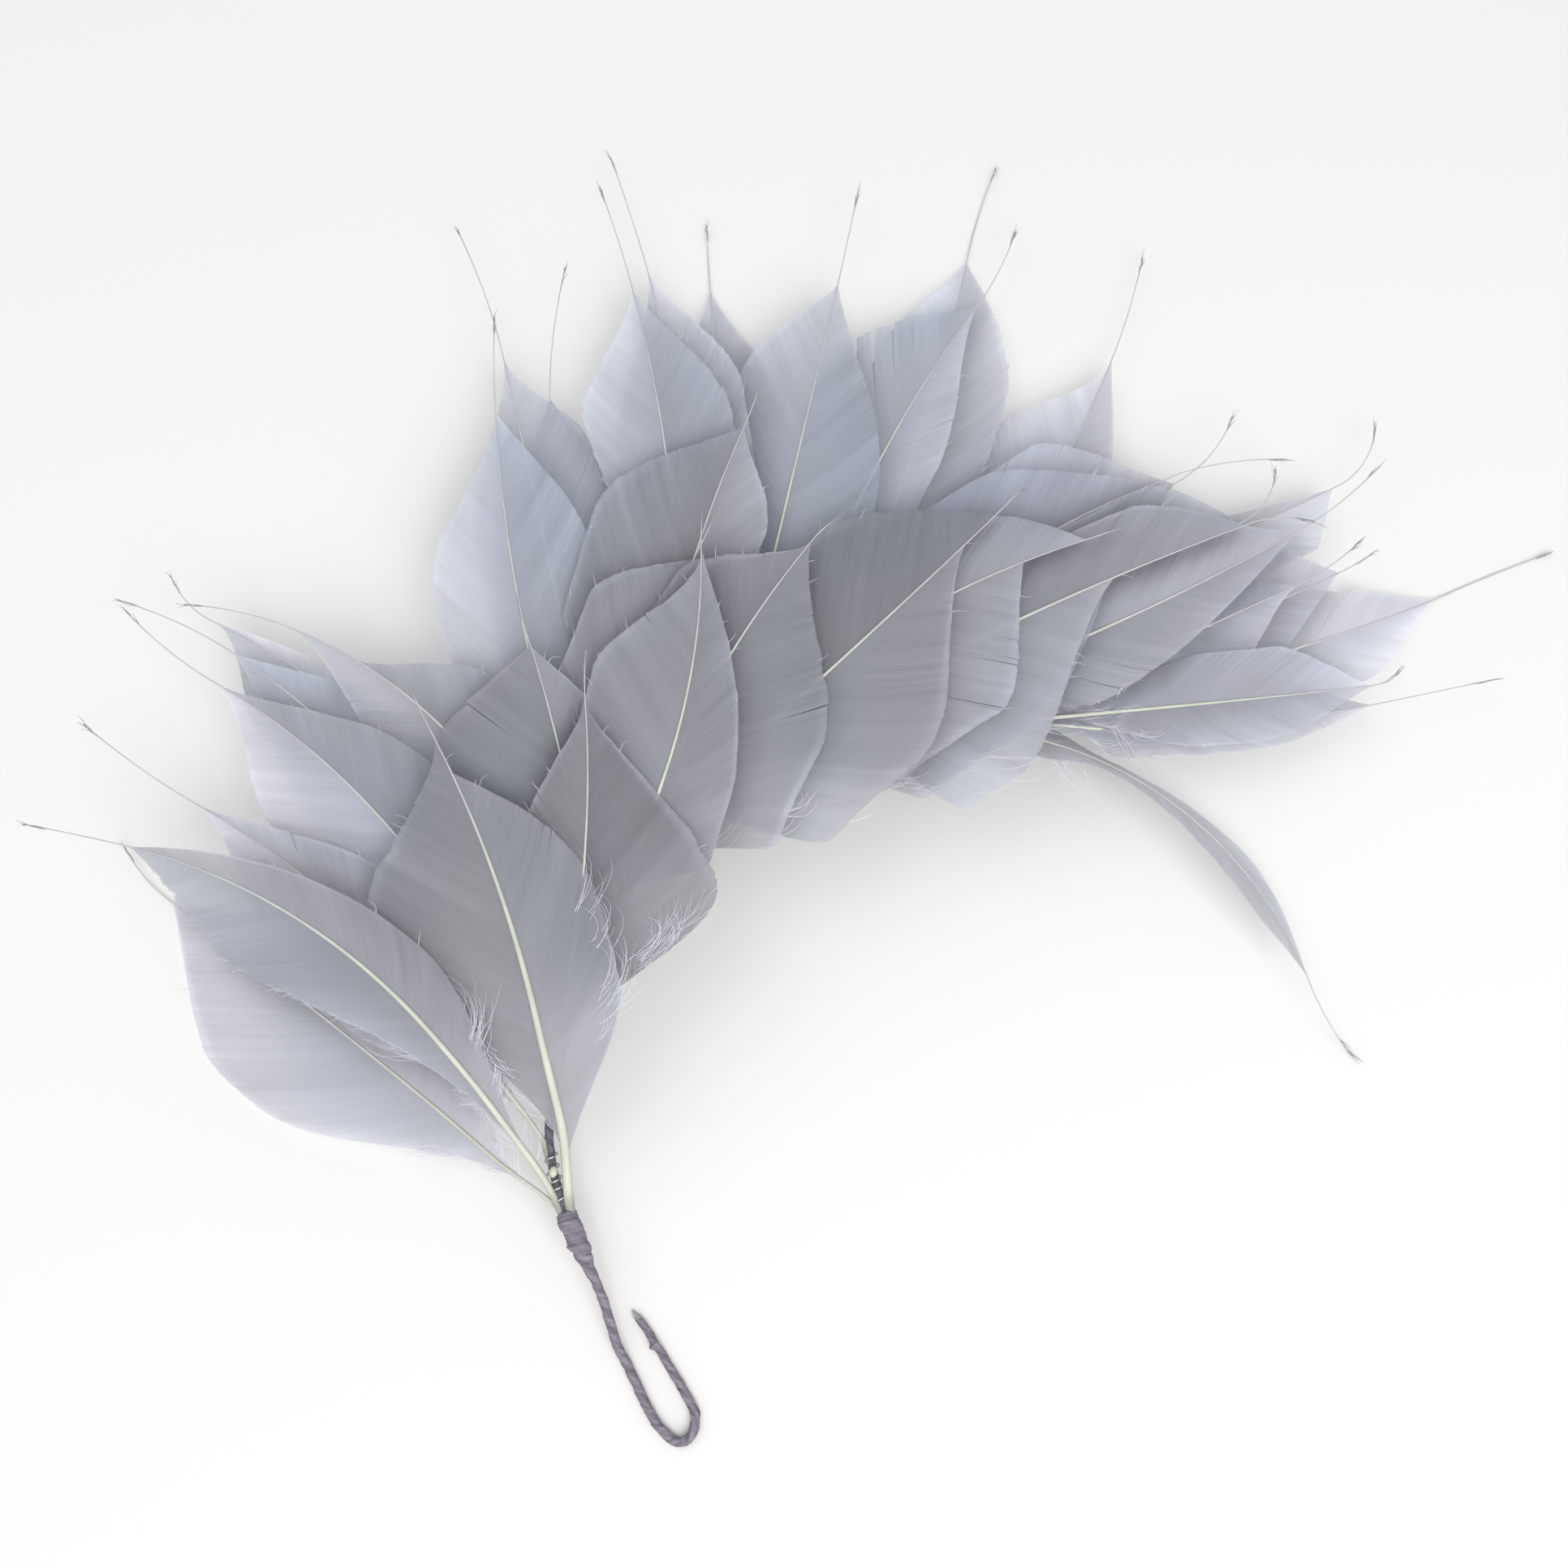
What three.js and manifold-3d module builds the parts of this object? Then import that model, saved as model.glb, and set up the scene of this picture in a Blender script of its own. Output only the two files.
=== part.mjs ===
// A millinery feather mount: goose feathers bound along a bent wire, with a taped hook.
// Millimetres, +Z up. The mount lies on its back on a surface at Z = 0: the hook is at
// the front, the feathers fan out to the left, to the back and to the right of the wire.

import * as THREE from 'three';
import { mergeVertices } from 'three/addons/utils/BufferGeometryUtils.js';
import Module from 'manifold-3d';

const wasm = await Module();
wasm.setup();

// The low dome that the feathers lie over: its height, its middle and how far it reaches
const CROWN_HEIGHT = 26;
const CROWN_Y = 20;
const SIDE_REACH = 200;
const FRONT_REACH = 200;
const BACK_REACH = 165;

// The spine wire, seen from above, from the collar to its far end
const SPINE_ROUTE = [
  [-64, -126], [-68, -112], [-69, -98], [-65, -78], [-56, -55], [-45, -28], [-30, -6],
  [-8, 8], [18, 16], [46, 20], [71, 21], [94, 20],
];
const SPINE_RADIUS = 1.3;
const SPINE_SIDES = 8;
const SPINE_STEPS = 26;

// The silvery binding wire round the foot of the spine
const BINDING_START = 3;
const BINDING_LENGTH = 15;
const BINDING_TURNS = 5;
const BINDING_RADIUS = 0.4;
const BINDING_SIDES = 5;
const BINDING_STEPS_PER_TURN = 6;

// The taped foot, from the spine's foot to the end of the hook. Where a height is 0 the
// wire lies on the surface.
const FOOT_ROUTE = [
  [-64, -126, 13.5], [-60, -134, 13], [-57, -141, 11.5], [-53.6, -148.4, 8.8], [-50.8, -157, 5.8],
  [-48.6, -164, 3.4], [-44.4, -172, 0], [-40.3, -180, 0], [-36, -186.6, 0], [-30.4, -190.6, 0],
  [-26.6, -188.2, 0], [-25.8, -183.2, 0], [-28.8, -177.2, 0], [-33, -170.6, 0], [-37.2, -164.2, 0],
  [-40.8, -159, 0], [-44.6, -154.4, 0],
];
const STEM_START = 16.8;
const STEM_RADIUS = 1.65;
const HOOK_TIP_RADIUS = 1.1;
const RETURN_STARTS = 0.66;
const STEM_SIDES = 8;
const STEM_STEPS = 32;

// The collar of paper tape: how far its rings are from the spine's foot, and their radii
const COLLAR_RINGS = [[0.6, 2.9], [2.5, 3.3], [6, 3.1], [9.5, 3.3], [12.5, 2.6], [16.5, 2.1]];
const COLLAR_SIDES = 12;

// A feather's own proportions, as fractions of its length from the foot to the vane's tip
const VANE_START = 0.05;
const LIFT_DONE_AT = 0.34;
const QUILL_RADIUS = 1.15;
const TIP_RADIUS = 0.4;
const VANE_HALF_THICKNESS = 0.35;
const VANE_DROOP = 1;
const STATIONS = [0, 0.12, 0.24, 0.38, 0.52, 0.64, 0.74, 0.84, 0.93, 1];
const PATH_STEPS = 60;

// Pieces that would cross are trimmed to leave a gap, where they share more than a trace
const GAP = 0.3;
const TRACE = 0.001;

// What a feather has where its row says nothing else. foot: where the quill sits round the
// wire, in degrees from its left side over the top. widest, shoulder and ends: where the vane
// reaches its full width, where it starts to narrow and where it ends. ogee: 1 where the cut
// to the tip is hollow, 0 where it is full. A pair gives the left and the right side.
// spikeTurn: the turn of the bare end. roll: degrees by which the right vane stands higher.
// curl: the tip's rise.
const USUAL = {
  widest: [0.5, 0.5],
  shoulder: [0.7, 0.7],
  ogee: [0.3, 0.3],
  ends: [1, 1],
  spikeTurn: 0,
  roll: 4,
  curl: 0,
  spikeRise: 4,
};

// The feathers. at: where the quill leaves the spine, in mm from the collar. heading: the
// way it points, in degrees from +X. bend: how far it turns to the left on its way. lift:
// height over the dome. left, right: half widths of the vane. spike: the bare end's length.
const LEFT_WING = [
  { at: 2, foot: -20, heading: 143, length: 154, bend: 5, lift: -8.4, left: 33, right: 20, spike: 23,
    spikeTurn: -30, widest: [0.6, 0.5], shoulder: [0.68, 0.64], roll: 2 },
  { at: 5, foot: 35, heading: 141.5, length: 165, bend: 49, lift: 25, left: 21, right: 15, spike: 32,
    spikeTurn: 5, widest: [0.7, 0.45], shoulder: [0.7, 0.42], ogee: [0.3, 0] },
  { at: 21, foot: 30, heading: 137, length: 145, bend: 27, lift: 14, left: 24, right: 19, spike: 46,
    spikeTurn: -10, widest: [0.45, 0.5], shoulder: [0.6, 0.5], ogee: [0.5, 0.6] },
  { at: 35, foot: 30, heading: 130.5, length: 164, bend: 38, lift: 11.8, left: 25, right: 22, spike: 39,
    spikeTurn: -16, shoulder: [0.72, 0.58], ogee: [0.6, 0.8] },
  { at: 47, foot: 10, heading: 130.5, length: 162, bend: 32, lift: 9.2, left: 24, right: 18, spike: 41,
    spikeTurn: 18, shoulder: [0.64, 0.64], ogee: [0.5, 0.5] },
  { at: 57, foot: -10, heading: 133, length: 172, bend: 42, lift: 6.6, left: 23, right: 11, spike: 22,
    spikeTurn: -44, shoulder: [0.8, 0.38], ogee: [0.9, 0] },
  { at: 69, foot: 20, heading: 131, length: 148, bend: 52, lift: 10.4, left: 18, right: 22, spike: 35,
    spikeTurn: 22, widest: [0.5, 0.45], shoulder: [0.64, 0.58], ogee: [0.6, 1], ends: [1, 0.85] },
];
const FRONT = [
  { at: 3, foot: 170, heading: 108, length: 141, bend: 23, lift: 22.4, left: 38, right: 26, spike: 14,
    spikeTurn: -11, widest: [0.6, 0.4], shoulder: [0.7, 0.56], ogee: [1, 0.1], ends: [1, 0.9] },
  { at: 40, foot: 90, heading: 85.5, length: 107, bend: 20, lift: 20, left: 20, right: 41, spike: 16,
    spikeTurn: -13, widest: [0.42, 0.55], shoulder: [0.6, 0.44], ogee: [0.3, 0.6] },
  { at: 92, foot: 75, heading: 77, length: 111, bend: 30, lift: 17.6, left: 30, right: 21, spike: 9,
    spikeTurn: -8, widest: [0.4, 0.2], shoulder: [0.64, 0.28], ogee: [1, 0.3] },
  { at: 104, foot: 90, heading: 62, length: 114, bend: -18, lift: 15.4, left: 29, right: 38, spike: 10,
    spikeTurn: -35, widest: [0.3, 0.2], shoulder: [0.74, 0.48], ogee: [0.9, 0.5] },
  { at: 118, foot: 95, heading: 44, length: 144, bend: 5, lift: 13.4, left: 36, right: 38, spike: 11,
    spikeTurn: -9, widest: [0.2, 0.25], shoulder: [0.68, 0.48], ogee: [0, 0.7], ends: [1, 0.9] },
  { at: 75, foot: 60, heading: 102, length: 96, bend: 15, lift: 15, left: 35, right: 20, spike: 14,
    spikeTurn: -8, shoulder: [0.78, 0.54], ogee: [0, 0.3] },
];
const RIGHT_WING = [
  { at: 136, foot: 100, heading: 33.5, length: 145, bend: -27, lift: 11.5, left: 21, right: 40, spike: 12,
    spikeTurn: -11, widest: [0.25, 0.3], shoulder: [0.78, 0.62], ogee: [0, 0.2], ends: [1, 0.85] },
  { at: 152, foot: 120, heading: 31, length: 136, bend: -14, lift: 8, left: 22, right: 40, spike: 12,
    spikeTurn: -8, widest: [0.3, 0.3], shoulder: [0.69, 0.54], ogee: [0, 0] },
  { at: 172, foot: 80, heading: 27, length: 157, bend: -8, lift: 9.8, left: 20, right: 44, spike: 22,
    spikeTurn: -49, widest: [0.5, 0.2], shoulder: [0.79, 0.28], ogee: [0, 0.6], ends: [1, 0.7] },
  { at: 190, foot: 90, heading: 26, length: 156, bend: 11, lift: 6.2, left: 18, right: 22, spike: 35,
    spikeTurn: 15, shoulder: [0.8, 0.34], ogee: [0.3, 0.1] },
  { at: 204, foot: 100, heading: 21.5, length: 135, bend: 12, lift: 2.8, left: 18, right: 32, spike: 25,
    spikeTurn: 15, widest: [0.5, 0.6], shoulder: [0.74, 0.56], ogee: [0.3, 0.7] },
  { at: 215, foot: 70, heading: 22, length: 140, bend: 11, lift: 1, left: 20, right: 20, spike: 12,
    spikeTurn: 4, shoulder: [0.84, 0.64], ogee: [0, 0.3] },
  { at: 227, foot: 90, heading: 17.5, length: 160, bend: 15, lift: -1, left: 18, right: 17, spike: 43,
    spikeTurn: -6, shoulder: [0.7, 0.76], ogee: [0.3, 0.6], curl: -6 },
  { at: 240, foot: 110, heading: 7.5, length: 112, bend: 2, lift: 3, left: 17, right: 14, spike: 9,
    spikeTurn: 45, widest: [0.55, 0.5], shoulder: [0.74, 0.64] },
  { at: 249, foot: 150, heading: 6, length: 103, bend: 14, lift: 1.6, left: 14, right: 9, spike: 40,
    spikeTurn: -2, widest: [0.5, 0.2], shoulder: [0.64, 0.56], ogee: [0.3, 0.2] },
  { at: 221, foot: 190, heading: -36.5, length: 135, bend: -68, lift: 0, left: 8, right: 9, spike: 28,
    spikeTurn: 31, shoulder: [0.64, 0.9], ogee: [0.3, 0.2], roll: 40, spikeRise: -8.8 },
];
const BACK = [
  { at: 91, foot: -30, heading: 104, length: 170, bend: -16, lift: 5.4, left: 26, right: 25, spike: 34,
    spikeTurn: -7, widest: [0.6, 0.45], shoulder: [0.66, 0.68], ogee: [1, 0.2], roll: 1 },
  { at: 97, foot: -50, heading: 103.5, length: 185, bend: 2, lift: 3.2, left: 22, right: 22, spike: 52,
    spikeTurn: 12, widest: [0.5, 0.45], shoulder: [0.64, 0.78], ogee: [0.7, 0.8], roll: 1 },
  { at: 102, foot: -70, heading: 100.5, length: 165, bend: -16, lift: 1, left: 22, right: 22, spike: 49,
    spikeTurn: -14, shoulder: [0.64, 0.7], ogee: [0.7, 0], roll: 1 },
  { at: 131, foot: -30, heading: 96.5, length: 179, bend: 16, lift: 4, left: 25, right: 23, spike: 39,
    spikeTurn: 6, widest: [0.8, 0.55], shoulder: [0.74, 0.7], ogee: [0.7, 0.6], roll: 1 },
  { at: 135, foot: -60, heading: 96, length: 185, bend: 18, lift: 1.8, left: 22, right: 22, spike: 46,
    spikeTurn: 5, shoulder: [0.64, 0.74], ogee: [0.8, 0.8], roll: 1 },
  { at: 140, foot: -90, heading: 91, length: 181, bend: 7, lift: -0.4, left: 22, right: 23, spike: 24,
    spikeTurn: -2, shoulder: [0.64, 0.7], ogee: [0.7, 0.7], roll: 1, curl: -8.4 },
  { at: 146, foot: -40, heading: 78, length: 175, bend: 1, lift: 1.8, left: 25, right: 28, spike: 36,
    shoulder: [0.76, 0.56], ogee: [0.4, 0.4], roll: 1 },
  { at: 166, foot: -80, heading: 71, length: 190, bend: 14, lift: -1.8, left: 22, right: 24, spike: 38,
    spikeTurn: -11, widest: [0.45, 0.45], shoulder: [0.76, 0.72], ogee: [0.5, 0], roll: 1, curl: -5 },
  { at: 160, foot: -60, heading: 66, length: 173, bend: -19, lift: 0, left: 31, right: 18, spike: 32,
    spikeTurn: 15, widest: [0.4, 0.5], shoulder: [0.76, 0.64], ogee: [0, 0.5], roll: 1 },
  { at: 185, foot: -60, heading: 56, length: 163, bend: 24, lift: -3.6, left: 28, right: 18, spike: 40,
    spikeTurn: 9, shoulder: [0.7, 0.66], ogee: [1, 0.4], roll: 1 },
];
const MIDDLE = [
  { at: 113, foot: 30, heading: 77.5, length: 139, bend: -17, lift: 8.6, left: 36, right: 19, spike: 15,
    spikeTurn: 2, shoulder: [0.72, 0.76], ogee: [0.2, 0.4] },
  { at: 98, foot: 20, heading: 77.5, length: 104, bend: -26, lift: 11.2, left: 26, right: 16, spike: 14,
    spikeTurn: -4, shoulder: [0.8, 0.64], ogee: [0.2, 0.3] },
  { at: 183, foot: 20, heading: 37.5, length: 139, bend: -11, lift: 0.8, left: 36, right: 20, spike: 32,
    spikeTurn: 38, shoulder: [0.78, 0.64], ogee: [0.4, 0.3], roll: 1 },
  { at: 176, foot: 40, heading: 37.5, length: 144, bend: -28, lift: 2.6, left: 29, right: 11, spike: 42,
    spikeTurn: -30, widest: [0.45, 0.5], shoulder: [0.6, 0.6], ogee: [0.5, 0], roll: 2 },
  { at: 180, foot: 60, heading: 28.5, length: 151, bend: 3, lift: 4.4, left: 26, right: 18, spike: 22,
    spikeTurn: 60, shoulder: [0.86, 0.64], ogee: [0, 0.3], roll: 2 },
  { at: 201, foot: -60, heading: 30, length: 168, bend: -5, lift: -1, left: 15, right: 16, spike: 27,
    spikeTurn: 60, shoulder: [0.44, 0.88], ogee: [0.4, 0.4], roll: 1 },
];
const SPRAY = { left: LEFT_WING, front: FRONT, right: RIGHT_WING, back: BACK, middle: MIDDLE };

// Colours and finishes
const finishes = {
  vane: new THREE.MeshStandardMaterial({ color: 0xa3a4ad, roughness: 0.75, metalness: 0 }),
  wire: new THREE.MeshStandardMaterial({ color: 0x4c4852, roughness: 0.8, metalness: 0 }),
  binding: new THREE.MeshStandardMaterial({ color: 0xb4b4b8, roughness: 0.35, metalness: 1 }),
  tape: new THREE.MeshStandardMaterial({ color: 0x6b6873, roughness: 0.9, metalness: 0 }),
};

const radians = THREE.MathUtils.degToRad;
const smooth = THREE.MathUtils.smoothstep;

function domeHeight(x, y) {
  const reach = y > CROWN_Y ? BACK_REACH : FRONT_REACH;
  return CROWN_HEIGHT * Math.exp(-((x / SIDE_REACH) ** 2) - ((y - CROWN_Y) / reach) ** 2);
}

function indexedGeometry(places, faces) {
  const geometry = new THREE.BufferGeometry();
  geometry.setAttribute('position', new THREE.BufferAttribute(places, 3));
  geometry.setIndex(faces);
  return geometry;
}

// Rings of points, each a list of Vector3 going round the same way, become one closed skin
function closedSkin(rings) {
  const sides = rings[0].length;
  const points = rings.flat();
  const faces = [];
  for (let ring = 0; ring < rings.length - 1; ring += 1) {
    for (let side = 0; side < sides; side += 1) {
      const a = ring * sides + side;
      const b = ring * sides + ((side + 1) % sides);
      faces.push(a, b, b + sides, a, b + sides, a + sides);
    }
  }
  const last = (rings.length - 1) * sides;
  for (let side = 1; side < sides - 1; side += 1) {
    faces.push(0, side + 1, side);
    faces.push(last, last + side, last + side + 1);
  }
  const places = new Float32Array(points.flatMap((point) => point.toArray()));
  return indexedGeometry(places, faces);
}

// A round skin along a line of stations, each with a place, a direction and a radius
function roundSkin(stations, sides) {
  const rings = stations.map(({ place, along, radius }) => {
    const left = new THREE.Vector3(-along.y, along.x, 0).normalize();
    const up = new THREE.Vector3().crossVectors(along, left);
    return Array.from({ length: sides }, (_, side) => {
      const angle = (2 * Math.PI * (side + 0.5)) / sides;
      return place.clone()
        .addScaledVector(left, -radius * Math.cos(angle))
        .addScaledVector(up, -radius * Math.sin(angle));
    });
  });
  return closedSkin(rings);
}

const spineCurve = new THREE.CatmullRomCurve3(
  SPINE_ROUTE.map(([x, y]) => new THREE.Vector3(x, y, domeHeight(x, y))),
  false,
  'centripetal',
);
const spineLength = spineCurve.getLength();

function onSpine(distance) {
  const share = THREE.MathUtils.clamp(distance / spineLength, 0, 1);
  return { place: spineCurve.getPointAt(share), along: spineCurve.getTangentAt(share) };
}

const footCurve = new THREE.CatmullRomCurve3(
  FOOT_ROUTE.map((point) => new THREE.Vector3(...point)),
  false,
  'centripetal',
);
const footLength = footCurve.getLength();

function onFoot(distance) {
  const share = distance / footLength;
  return { place: footCurve.getPointAt(share), along: footCurve.getTangentAt(share) };
}

function spineWire(extra) {
  const stations = Array.from({ length: SPINE_STEPS + 1 }, (_, step) => (
    { ...onSpine((spineLength * step) / SPINE_STEPS), radius: SPINE_RADIUS + extra }
  ));
  return roundSkin(stations, SPINE_SIDES);
}

function bindingWire(extra) {
  const turnRadius = SPINE_RADIUS + 2 * GAP + BINDING_RADIUS;
  const steps = BINDING_TURNS * BINDING_STEPS_PER_TURN;
  const places = Array.from({ length: steps + 1 }, (_, step) => {
    const { place, along } = onSpine(BINDING_START + (BINDING_LENGTH * step) / steps);
    const left = new THREE.Vector3(-along.y, along.x, 0).normalize();
    const up = new THREE.Vector3().crossVectors(along, left);
    const angle = (2 * Math.PI * step) / BINDING_STEPS_PER_TURN;
    return place.addScaledVector(left, turnRadius * Math.cos(angle))
      .addScaledVector(up, turnRadius * Math.sin(angle));
  });
  const stations = places.map((place, step) => {
    const before = places[Math.max(step - 1, 0)];
    const after = places[Math.min(step + 1, steps)];
    return { place, along: after.clone().sub(before).normalize(), radius: BINDING_RADIUS + extra };
  });
  return roundSkin(stations, BINDING_SIDES);
}

function tapeCollar(extra) {
  const stations = COLLAR_RINGS.map(([distance, radius]) => (
    { ...onFoot(distance), radius: radius + extra }
  ));
  return roundSkin(stations, COLLAR_SIDES);
}

// The stem thins towards the pinched end of the hook, and lies on the surface on a flat side
function tapedStem(extra) {
  const stations = Array.from({ length: STEM_STEPS + 1 }, (_, step) => {
    const share = step / STEM_STEPS;
    const { place, along } = onFoot(STEM_START + (footLength - STEM_START) * share);
    const thinned = THREE.MathUtils.clamp((share - RETURN_STARTS) / (1 - RETURN_STARTS), 0, 1);
    const radius = THREE.MathUtils.lerp(STEM_RADIUS, HOOK_TIP_RADIUS, thinned);
    place.z = Math.max(place.z, radius * Math.cos(Math.PI / STEM_SIDES));
    if (place.z < STEM_RADIUS) {
      along.setZ(0).normalize();
    }
    return { place, along, radius: radius + extra };
  });
  return roundSkin(stations, STEM_SIDES);
}

// The share of its full half width that a vane has at a fraction of the feather's length
function vaneShare(feather, side, fraction) {
  const shoulder = feather.shoulder[side];
  const ogee = feather.ogee[side];
  const end = feather.ends[side];
  const grown = smooth(fraction, VANE_START, feather.widest[side]);
  const left = THREE.MathUtils.clamp((end - fraction) / (end - shoulder), 0, 1);
  return grown * ((1 - ogee) * Math.sin((Math.PI / 2) * left) + ogee * smooth(left, 0, 1));
}

// A feather's middle line: its place, heading and height at a fraction of its length
function featherLine(feather) {
  const { place: foot, along } = onSpine(feather.at);
  const spineHeading = Math.atan2(along.y, along.x);
  const start = radians(feather.heading - feather.bend / 2);
  const bound = feather.at < BINDING_START + BINDING_LENGTH;
  const reach = SPINE_RADIUS + QUILL_RADIUS + GAP + (bound ? GAP + 2 * BINDING_RADIUS : 0);
  const sideways = Math.cos(radians(feather.foot)) * reach;
  const footLift = Math.sin(radians(feather.foot)) * reach;
  let x = foot.x - Math.sin(spineHeading) * sideways;
  let y = foot.y + Math.cos(spineHeading) * sideways;
  const line = [];
  const spikePart = feather.spike / feather.length;
  const step = (1 + spikePart) / PATH_STEPS;
  for (let i = 0; i <= PATH_STEPS; i += 1) {
    const fraction = i * step;
    const past = Math.max(0, fraction - 1) / spikePart;
    const heading = start + radians(feather.bend * Math.min(fraction, 1) + feather.spikeTurn * past);
    const raised = smooth(fraction, 0, LIFT_DONE_AT);
    const curled = Math.max(0, Math.min(fraction, 1) - 0.5) / 0.5;
    const z = domeHeight(x, y) + footLift * (1 - raised) + feather.lift * raised
      + feather.curl * curled ** 2 + feather.spikeRise * past ** 2;
    line.push({ fraction, heading, x, y, z });
    x += Math.cos(heading) * feather.length * step;
    y += Math.sin(heading) * feather.length * step;
  }
  return line;
}

function pointOnLine(line, fraction) {
  const step = line[1].fraction;
  const index = Math.min(Math.floor(fraction / step), line.length - 2);
  const share = fraction / step - index;
  const mix = (key) => THREE.MathUtils.lerp(line[index][key], line[index + 1][key], share);
  return { x: mix('x'), y: mix('y'), z: mix('z'), heading: mix('heading') };
}

function featherSkin(feather, extra) {
  const line = featherLine(feather);
  const spikePart = feather.spike / feather.length;
  const fractions = [...STATIONS, 1 + spikePart];
  const rings = fractions.map((fraction) => {
    const { x, y, z, heading } = pointOnLine(line, fraction);
    const radius = THREE.MathUtils.lerp(QUILL_RADIUS, TIP_RADIUS, Math.min(fraction, 1)) + extra;
    const [leftShare, rightShare] = [0, 1].map((side) => vaneShare(feather, side, fraction));
    const roll = radians(feather.roll) * smooth(fraction, 0, LIFT_DONE_AT);
    const leftWay = new THREE.Vector3(
      -Math.sin(heading) * Math.cos(roll),
      Math.cos(heading) * Math.cos(roll),
      -Math.sin(roll),
    );
    const place = new THREE.Vector3(x, y, z);
    const at = (aside, height) => place.clone()
      .addScaledVector(leftWay, aside)
      .add(new THREE.Vector3(0, 0, height));
    const left = Math.max(radius, feather.left * leftShare);
    const right = Math.max(radius, feather.right * rightShare);
    const share = Math.max(leftShare, rightShare);
    const thin = share > 0.1 ? VANE_HALF_THICKNESS + extra : 0.75 * radius;
    const droop = VANE_DROOP * share;
    const [lower, upper] = [-thin, thin].map((height) => height - droop / 4);
    return [
      at(left + extra, -droop), at(left / 2, upper), at(0, radius), at(-right / 2, upper),
      at(-right - extra, -droop), at(-right / 2, lower), at(0, -radius), at(left / 2, lower),
    ];
  });
  return closedSkin(rings);
}

function solidOf(geometry) {
  const merged = mergeVertices(geometry, TRACE);
  return new wasm.Manifold(new wasm.Mesh({
    numProp: 3,
    vertProperties: new Float32Array(merged.attributes.position.array),
    triVerts: new Uint32Array(merged.index.array),
  }));
}

function geometryOf(solid) {
  const { vertProperties, triVerts } = solid.getMesh();
  return indexedGeometry(vertProperties, Array.from(triVerts));
}

// Every piece, those that lie on top first: a lower piece gives way where they would cross
const feathers = Object.entries(SPRAY).flatMap(([place, rows]) => (
  rows.map((row, index) => ({ name: `${place}_feather_${index + 1}`, ...USUAL, ...row }))
));
const pieces = [
  { name: 'spine_wire', finish: finishes.wire, skin: spineWire },
  { name: 'binding_wire', finish: finishes.binding, skin: bindingWire },
  { name: 'tape_collar', finish: finishes.tape, skin: tapeCollar },
  { name: 'taped_stem', finish: finishes.tape, skin: tapedStem },
  ...feathers.sort((one, other) => other.lift - one.lift).map((feather) => (
    { name: feather.name, finish: finishes.vane, skin: (extra) => featherSkin(feather, extra) }
  )),
];

const mount = new THREE.Group();
const kept = [];
pieces.forEach(({ name, finish, skin }) => {
  const whole = skin(0);
  whole.computeBoundingBox();
  let solid = solidOf(whole);
  let trimmed = false;
  kept.filter((other) => other.box.intersectsBox(whole.boundingBox)).forEach((other) => {
    if (solid.intersect(other.roomy).volume() > TRACE) {
      solid = solid.subtract(other.roomy);
      trimmed = true;
    }
  });
  const [largest] = solid.decompose().sort((one, other) => other.volume() - one.volume());
  const roomy = skin(GAP);
  roomy.computeBoundingBox();
  kept.push({ box: roomy.boundingBox, roomy: solidOf(roomy) });
  const mesh = new THREE.Mesh(trimmed ? geometryOf(largest) : whole, finish);
  mesh.name = name;
  mount.add(mesh);
});

// The origin is on the surface, under the middle of the mount's box
const box = new THREE.Box3().setFromObject(mount);
const middle = box.getCenter(new THREE.Vector3());
mount.position.set(-middle.x, -middle.y, -box.min.z);

export default mount;
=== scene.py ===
# The looks of the millinery feather mount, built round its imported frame.
# Lengths are millimetres in the frame the part was drawn in, until a mesh is made: there
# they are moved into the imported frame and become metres.

import math

import bpy
import numpy as np
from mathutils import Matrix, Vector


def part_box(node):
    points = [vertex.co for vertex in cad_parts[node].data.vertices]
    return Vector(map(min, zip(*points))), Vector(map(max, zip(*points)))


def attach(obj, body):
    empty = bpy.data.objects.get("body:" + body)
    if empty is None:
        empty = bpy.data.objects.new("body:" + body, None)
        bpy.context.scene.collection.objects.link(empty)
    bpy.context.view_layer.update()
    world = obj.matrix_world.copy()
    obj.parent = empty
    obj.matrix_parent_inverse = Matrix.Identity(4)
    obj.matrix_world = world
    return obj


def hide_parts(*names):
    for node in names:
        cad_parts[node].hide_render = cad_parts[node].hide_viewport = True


METRES = 0.001

# The low dome that the feathers lie over
CROWN_HEIGHT = 26
CROWN_Y = 20
SIDE_REACH = 200
FRONT_REACH = 200
BACK_REACH = 165

# The spine wire, seen from above, and the foot from the spine to the end of the hook
SPINE_ROUTE = [
    (-64, -126), (-68, -112), (-69, -98), (-65, -78), (-56, -55), (-45, -28), (-30, -6),
    (-8, 8), (18, 16), (46, 20), (71, 21), (94, 20),
]
SPINE_RADIUS = 1.3
FOOT_ROUTE = [
    (-64, -126, 13.5), (-60, -134, 13), (-57, -141, 11.5), (-53.6, -148.4, 8.8), (-50.8, -157, 5.8),
    (-48.6, -164, 3.4), (-44.4, -172, 0), (-40.3, -180, 0), (-36, -186.6, 0), (-30.4, -190.6, 0),
    (-26.6, -188.2, 0), (-25.8, -183.2, 0), (-28.8, -177.2, 0), (-33, -170.6, 0), (-37.2, -164.2, 0),
    (-40.8, -159, 0), (-44.6, -154.4, 0),
]

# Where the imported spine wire's box ends in the drawing's frame: its right end and its foot
SPINE_BOX_RIGHT = 94.13
SPINE_BOX_FRONT = -126.37

# The binding wire round the foot of the spine
BINDING_START = 3
BINDING_LENGTH = 15
BINDING_TURNS = 5
BINDING_RADIUS = 0.3
BINDING_CLEARANCE = 0.75
STEPS_PER_TURN = 20
GLUE_DROP_AT = 12

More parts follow.
